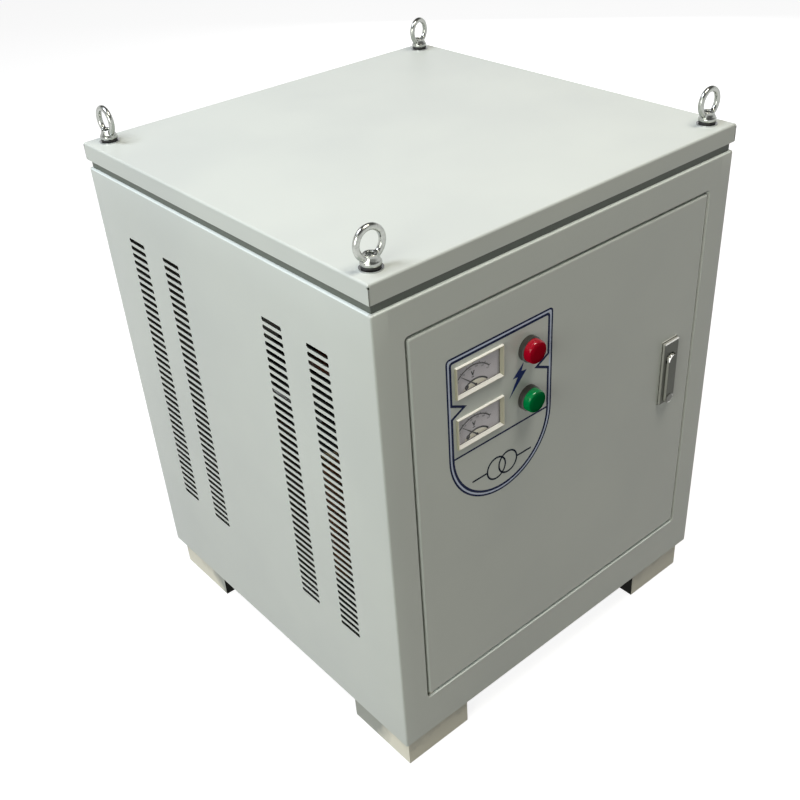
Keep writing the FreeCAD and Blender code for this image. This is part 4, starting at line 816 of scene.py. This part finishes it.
screw_across, screw_below, screw_radius = 16.5, 12.0, 2.8
window_half_width, window_half_height, window_y, shade_inset, shade_width = 30.0, 15.0, -274.9, 0.3, 0.6
for level, meter_z in (("upper", 532.0), ("lower", 469.0)):
    bm = bmesh.new()
    cx, cz = meter_x - scale_across, meter_z - scale_below
    flat_strip(bm, arc(cx, cz, scale_radius, scale_start, scale_end, 28), scale_width, dial_y, print_lift)
    for k in range(divisions + 1):
        direction = scale_start + (scale_end - scale_start) * k / divisions
        major = k % 5 == 0
        outer = scale_radius + (long_tick if major else short_tick)
        tick = [arc(cx, cz, r, direction, direction, 1)[0] for r in (scale_radius, outer)]
        flat_strip(bm, tick, long_tick_width if major else short_tick_width, dial_y, print_lift)
        if k % 6 == 0:
            figure = bpy.data.curves.new("figure", "FONT")
            figure.body = str(k // 6 * figure_step)
            figure.size = figure_size
            figure.align_x = "CENTER"
            figure.align_y = "CENTER"
            holder = bpy.data.objects.new("figure", figure)
            letters = holder.to_mesh()
            fx, fz = arc(cx, cz, scale_radius - figure_inset, direction, direction, 1)[0]
            stand = Matrix.Translation((fx * mm, (dial_y - print_lift) * mm, fz * mm))
            letters.transform(stand @ Matrix.Rotation(math.pi / 2, 4, "X") @ Matrix.Scale(mm, 4))
            bm.from_mesh(letters)
            holder.to_mesh_clear()
            bpy.data.objects.remove(holder)
            bpy.data.curves.remove(figure)
    vx, vz = meter_x - letter_across, meter_z + letter_above
    for side in (-letter_half_width, letter_half_width):
        stroke = ((vx + side, vz + letter_half_height), (vx, vz - letter_half_height))
        flat_strip(bm, stroke, letter_line, dial_y, print_lift)
    underline = [(vx + side, vz - underline_below) for side in (-underline_half, underline_half)]
    flat_strip(bm, underline, underline_width, dial_y, print_lift)
    mx, mz = meter_x - cover_across, meter_z - cover_below
    flat_strip(bm, arc(mx, mz, cover_radius, edge_start, edge_end, 16), edge_width, cover_y, print_lift)
    zero_screw = arc(meter_x - screw_across, meter_z - screw_below, screw_radius, 0, 345, 23)
    flat_patch(bm, zero_screw, cover_y, print_lift)
    # Painted shadow: a black strip along the window's right side and foot.
    left, right = meter_x - window_half_width, meter_x + window_half_width - shade_inset
    top, foot = meter_z + window_half_height, meter_z - window_half_height + shade_inset
    flat_strip(bm, ((right, top), (right, foot), (left, foot)), shade_width, window_y, print_lift)
    new_piece("dial_marks_and_painted_shadow_" + level, "door", dial_ink, bm)
    bm = bmesh.new()
    cover = arc(mx, mz, cover_radius, cover_start, cover_end, 24)
    flat_patch(bm, cover, cover_y + print_lift, print_lift / 2)
    new_piece("movement_cover_" + level, "door", ivory_abs, bm)

# The pilot lamps have dark ABS bezels and a ring nut behind the door. Each lens is moulded in
# dyed polycarbonate with a round shoulder. Its faces turned to the front are painted darker as
# painted shade, and only faces turned up get a sheen, as a painted highlight.
bezel_abs = mottled("black_moulded_abs", 8.0, 2.0, "#2E2D2A", "#3C3A36", {"Roughness": 0.38, "IOR": 1.54})
wear(bezel_abs, "lamp_body_red", "lamp_body_green")
wear(bright_zinc, "lamp_nuts")
lens_profile = ((0.0, 5.5), (13.5, 5.5), (13.5, 12.2), (13.35, 13.2), (12.9, 14.2), (12.2, 14.95),
                (11.4, 15.35), (11.0, 15.3), (10.6, 15.45), (9.8, 15.8), (7.0, 15.97), (0.0, 16.0))
lamp_x, lens_steps = -69.0, 64
lens_colours = (("red", "#A80A22", "#B00826", 529.5), ("green", "#00703A", "#008A4A", 467.0))
for colour, shaded_face, bright, lamp_z in lens_colours:
    dyed, tree = new_material(colour + "_polycarbonate")
    place = add_node(tree, "TexCoord")
    facing = add_node(tree, "SeparateXYZ", {"Vector": place.outputs["Normal"]})
    # Painted shade: faces turned to the front take the darker colour.
    front = add_node(tree, "MapRange", {"Value": facing.outputs["Y"], "From Min": -0.5, "From Max": -0.95})
    flow = add_node(tree, "TexNoise", {"Vector": place.outputs["Object"], "Scale": 1000 / 6.0,
                                       "Detail": 2.0})
    shade = add_node(tree, "Mix", {0: front.outputs[0], 6: srgb(bright), 7: srgb(shaded_face)}, data_type="RGBA")
    # Painted highlight: only faces turned up get a sheen.
    painted_sheen_level = add_node(tree, "MapRange", {"Value": facing.outputs["Z"], "From Min": 0.3, "From Max": 0.8,
                                        "To Max": 0.6})
    swirl = add_node(tree, "Bump", {"Height": flow.outputs[0], "Distance": 0.00003, "Strength": 0.3})
    lens_skin = add_node(tree, "BsdfPrincipled", {"Base Color": shade.outputs[2], "Roughness": 0.1,
                                                  "IOR": 1.58, "Specular IOR Level": painted_sheen_level.outputs[0],
                                                  "Normal": swirl.outputs[0]})
    add_node(tree, "OutputMaterial", {"Surface": lens_skin.outputs[0]})
    bm = bmesh.new()
    lens_place = (lamp_x * mm, door_face * mm, lamp_z * mm)
    lathe(bm, [(radius * mm, h * mm) for radius, h in lens_profile], lens_place, "Y", lens_steps)
    lens = new_piece("moulded_lens_" + colour, "door", dyed, bm)
    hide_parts("lamp_lens_" + colour)

# The lock's plate and its folding lever are zinc die castings, blasted and finished in satin dark
# chrome. Faces turned to the front are dark; the sides are painted light grey as painted light.
# The blast is drawn 1 mm coarse. The plate lies on a narrow flange, with the edge of a black
# rubber seal showing round it.
die_casting, tree = new_material("satin_dark_chrome")
place = add_node(tree, "TexCoord")
blast = add_node(tree, "TexNoise", {"Vector": place.outputs["Object"], "Scale": 1000 / 1.0, "Detail": 3.0})
dull = add_node(tree, "Mix", {0: blast.outputs[0], 6: srgb("#555851"), 7: srgb("#62655D")},
                data_type="RGBA")
# Painted light: sides are light grey, while faces turned to the front stay dark.
facing = add_node(tree, "SeparateXYZ", {"Vector": place.outputs["Normal"]})
flat = add_node(tree, "MapRange", {"Value": facing.outputs["Y"], "From Min": -0.5, "From Max": -0.95})
shade = add_node(tree, "Mix", {0: flat.outputs[0], 6: srgb("#AEAFA8"), 7: dull.outputs[2]},
                 data_type="RGBA")
grit = add_node(tree, "Bump", {"Height": blast.outputs[0], "Distance": 0.00003, "Strength": 0.4})
chrome = add_node(tree, "BsdfPrincipled", {"Base Color": shade.outputs[2], "Roughness": 0.45,
                                           "Metallic": 0.1, "Specular IOR Level": 0.25,
                                           "Normal": grit.outputs[0]})
add_node(tree, "OutputMaterial", {"Surface": chrome.outputs[0]})
wear(die_casting, "lock_plate", "lock_lever")
lock_x, lock_low, lock_top, plate_front, lever_front = 185.3, 342.0, 432.0, -279.5, -283.0
lock_left, lock_right, flange_width, flange_half = 171.3, 199.3, 1.6, 0.45
seal_width, seal_out, seal_half = 0.2, 1.15, 0.25
bm = bmesh.new()
corners = ((lock_left, lock_low), (lock_right, lock_low), (lock_right, lock_top), (lock_left, lock_top))
flat_strip(bm, corners, flange_width, door_face - flange_half, flange_half, closed=True)
new_piece("lock_flange", "door", die_casting, bm)
bm = bmesh.new()
flat_strip(bm, corners, seal_width, door_face - seal_out, seal_half, closed=True)
new_piece("lock_seal", "door", black_rubber, bm)

# Highlights are painted on the edges of the lock that face up: near white on the plate's top
# edge and the top of its flange, and as mirror strips shaped like the highlights on the round end
# of the lever and the lower lip of the button's hole.
painted_highlight_edge = mottled("painted_highlight_chrome", 2.0, 2.0, "#E6E7E2", "#F6F6F2",
                        {"Roughness": 0.2, "Metallic": 0.5})
edge_round, raised, skin, bead_out, bead_drop, bead_ends = 0.7, 0.06, 0.12, 0.05, 2.4, (172.2, 198.9)
flange_out, flange_ends = 0.9, (170.8, 199.8)
bead = [(plate_front - bead_out, lock_top - bead_drop)]
for step in range(5):
    angle = math.radians(22.5 * step)
    bead.append((plate_front + edge_round - (edge_round + raised) * math.cos(angle),
                 lock_top - edge_round + (edge_round + raised) * math.sin(angle)))
bm = bmesh.new()
overlay(bm, [[(x, y, z) for x in bead_ends] for y, z in bead], (0.0, skin, -skin))
flange_top = [[(x, y, lock_top + flange_out) for x in flange_ends]
              for y in (door_face - flange_out, door_face)]
overlay(bm, flange_top, (0.0, 0.0, -skin))
new_piece("plate_edge_painted_highlight", "door", painted_highlight_edge, bm)
mirror_chrome = mottled("mirror_chrome_edge", 2.0, 2.0, "#F4F4F0", "#FEFEFA",
                        {"Roughness": 0.12, "Metallic": 1.0})
end_radius, end_z, hole_z, hole_lip = 7.2, 406.0, 349.2, (6.45, 7.0)
edge_fillet, raised, end_steps, end_start, end_sweep = 0.8, 0.08, 16, 80.0, 120.0
least_width, more_width = 0.2, 1.5
section = []
for step in range(4):
    angle = math.radians(30.0 * step)
    section.append((-edge_fillet + (edge_fillet + raised) * math.cos(angle),
                    edge_fillet - (edge_fillet + raised) * math.sin(angle)))
bm = bmesh.new()
rows = []
for inset, depth in section + [(-edge_fillet, -raised)]:
    inner_row = len(rows) == len(section)
    row = []
    for k in range(end_steps + 1):
        angle = end_start + end_sweep * k / end_steps
        width = least_width + more_width * math.sin(math.pi * k / end_steps) if inner_row else 0.0
        x, z = arc(lock_x, end_z, end_radius + inset - width, angle, angle, 1)[0]
        row.append((x, lever_front + depth, z))
    rows.append(row)
overlay(bm, rows, (0.0, skin, 0.0))
lip_out, lip_depth = 0.1, 0.4
rows = [[(x, lever_front - lip_out, z) for x, z in arc(lock_x, hole_z, radius, -110, 20, 16)]
        for radius in hole_lip]
overlay(bm, rows, (0.0, lip_depth, 0.0))
new_piece("lever_edge_painted_highlight", "lever", mirror_chrome, bm)

# The release button is turned from steel and dully polished, which leaves it dark. The spindle,
# the cam and the lever's pin behind it are steel with bright zinc plate.
turned_steel = mottled("polished_turned_steel", 1.0, 2.0, "#4C4D49", "#62635E",
                       {"Roughness": 0.35, "Metallic": 1.0})
wear(turned_steel, "lock_button")
wear(bright_zinc, "lock_spindle", "lock_cam", "lever_pin")
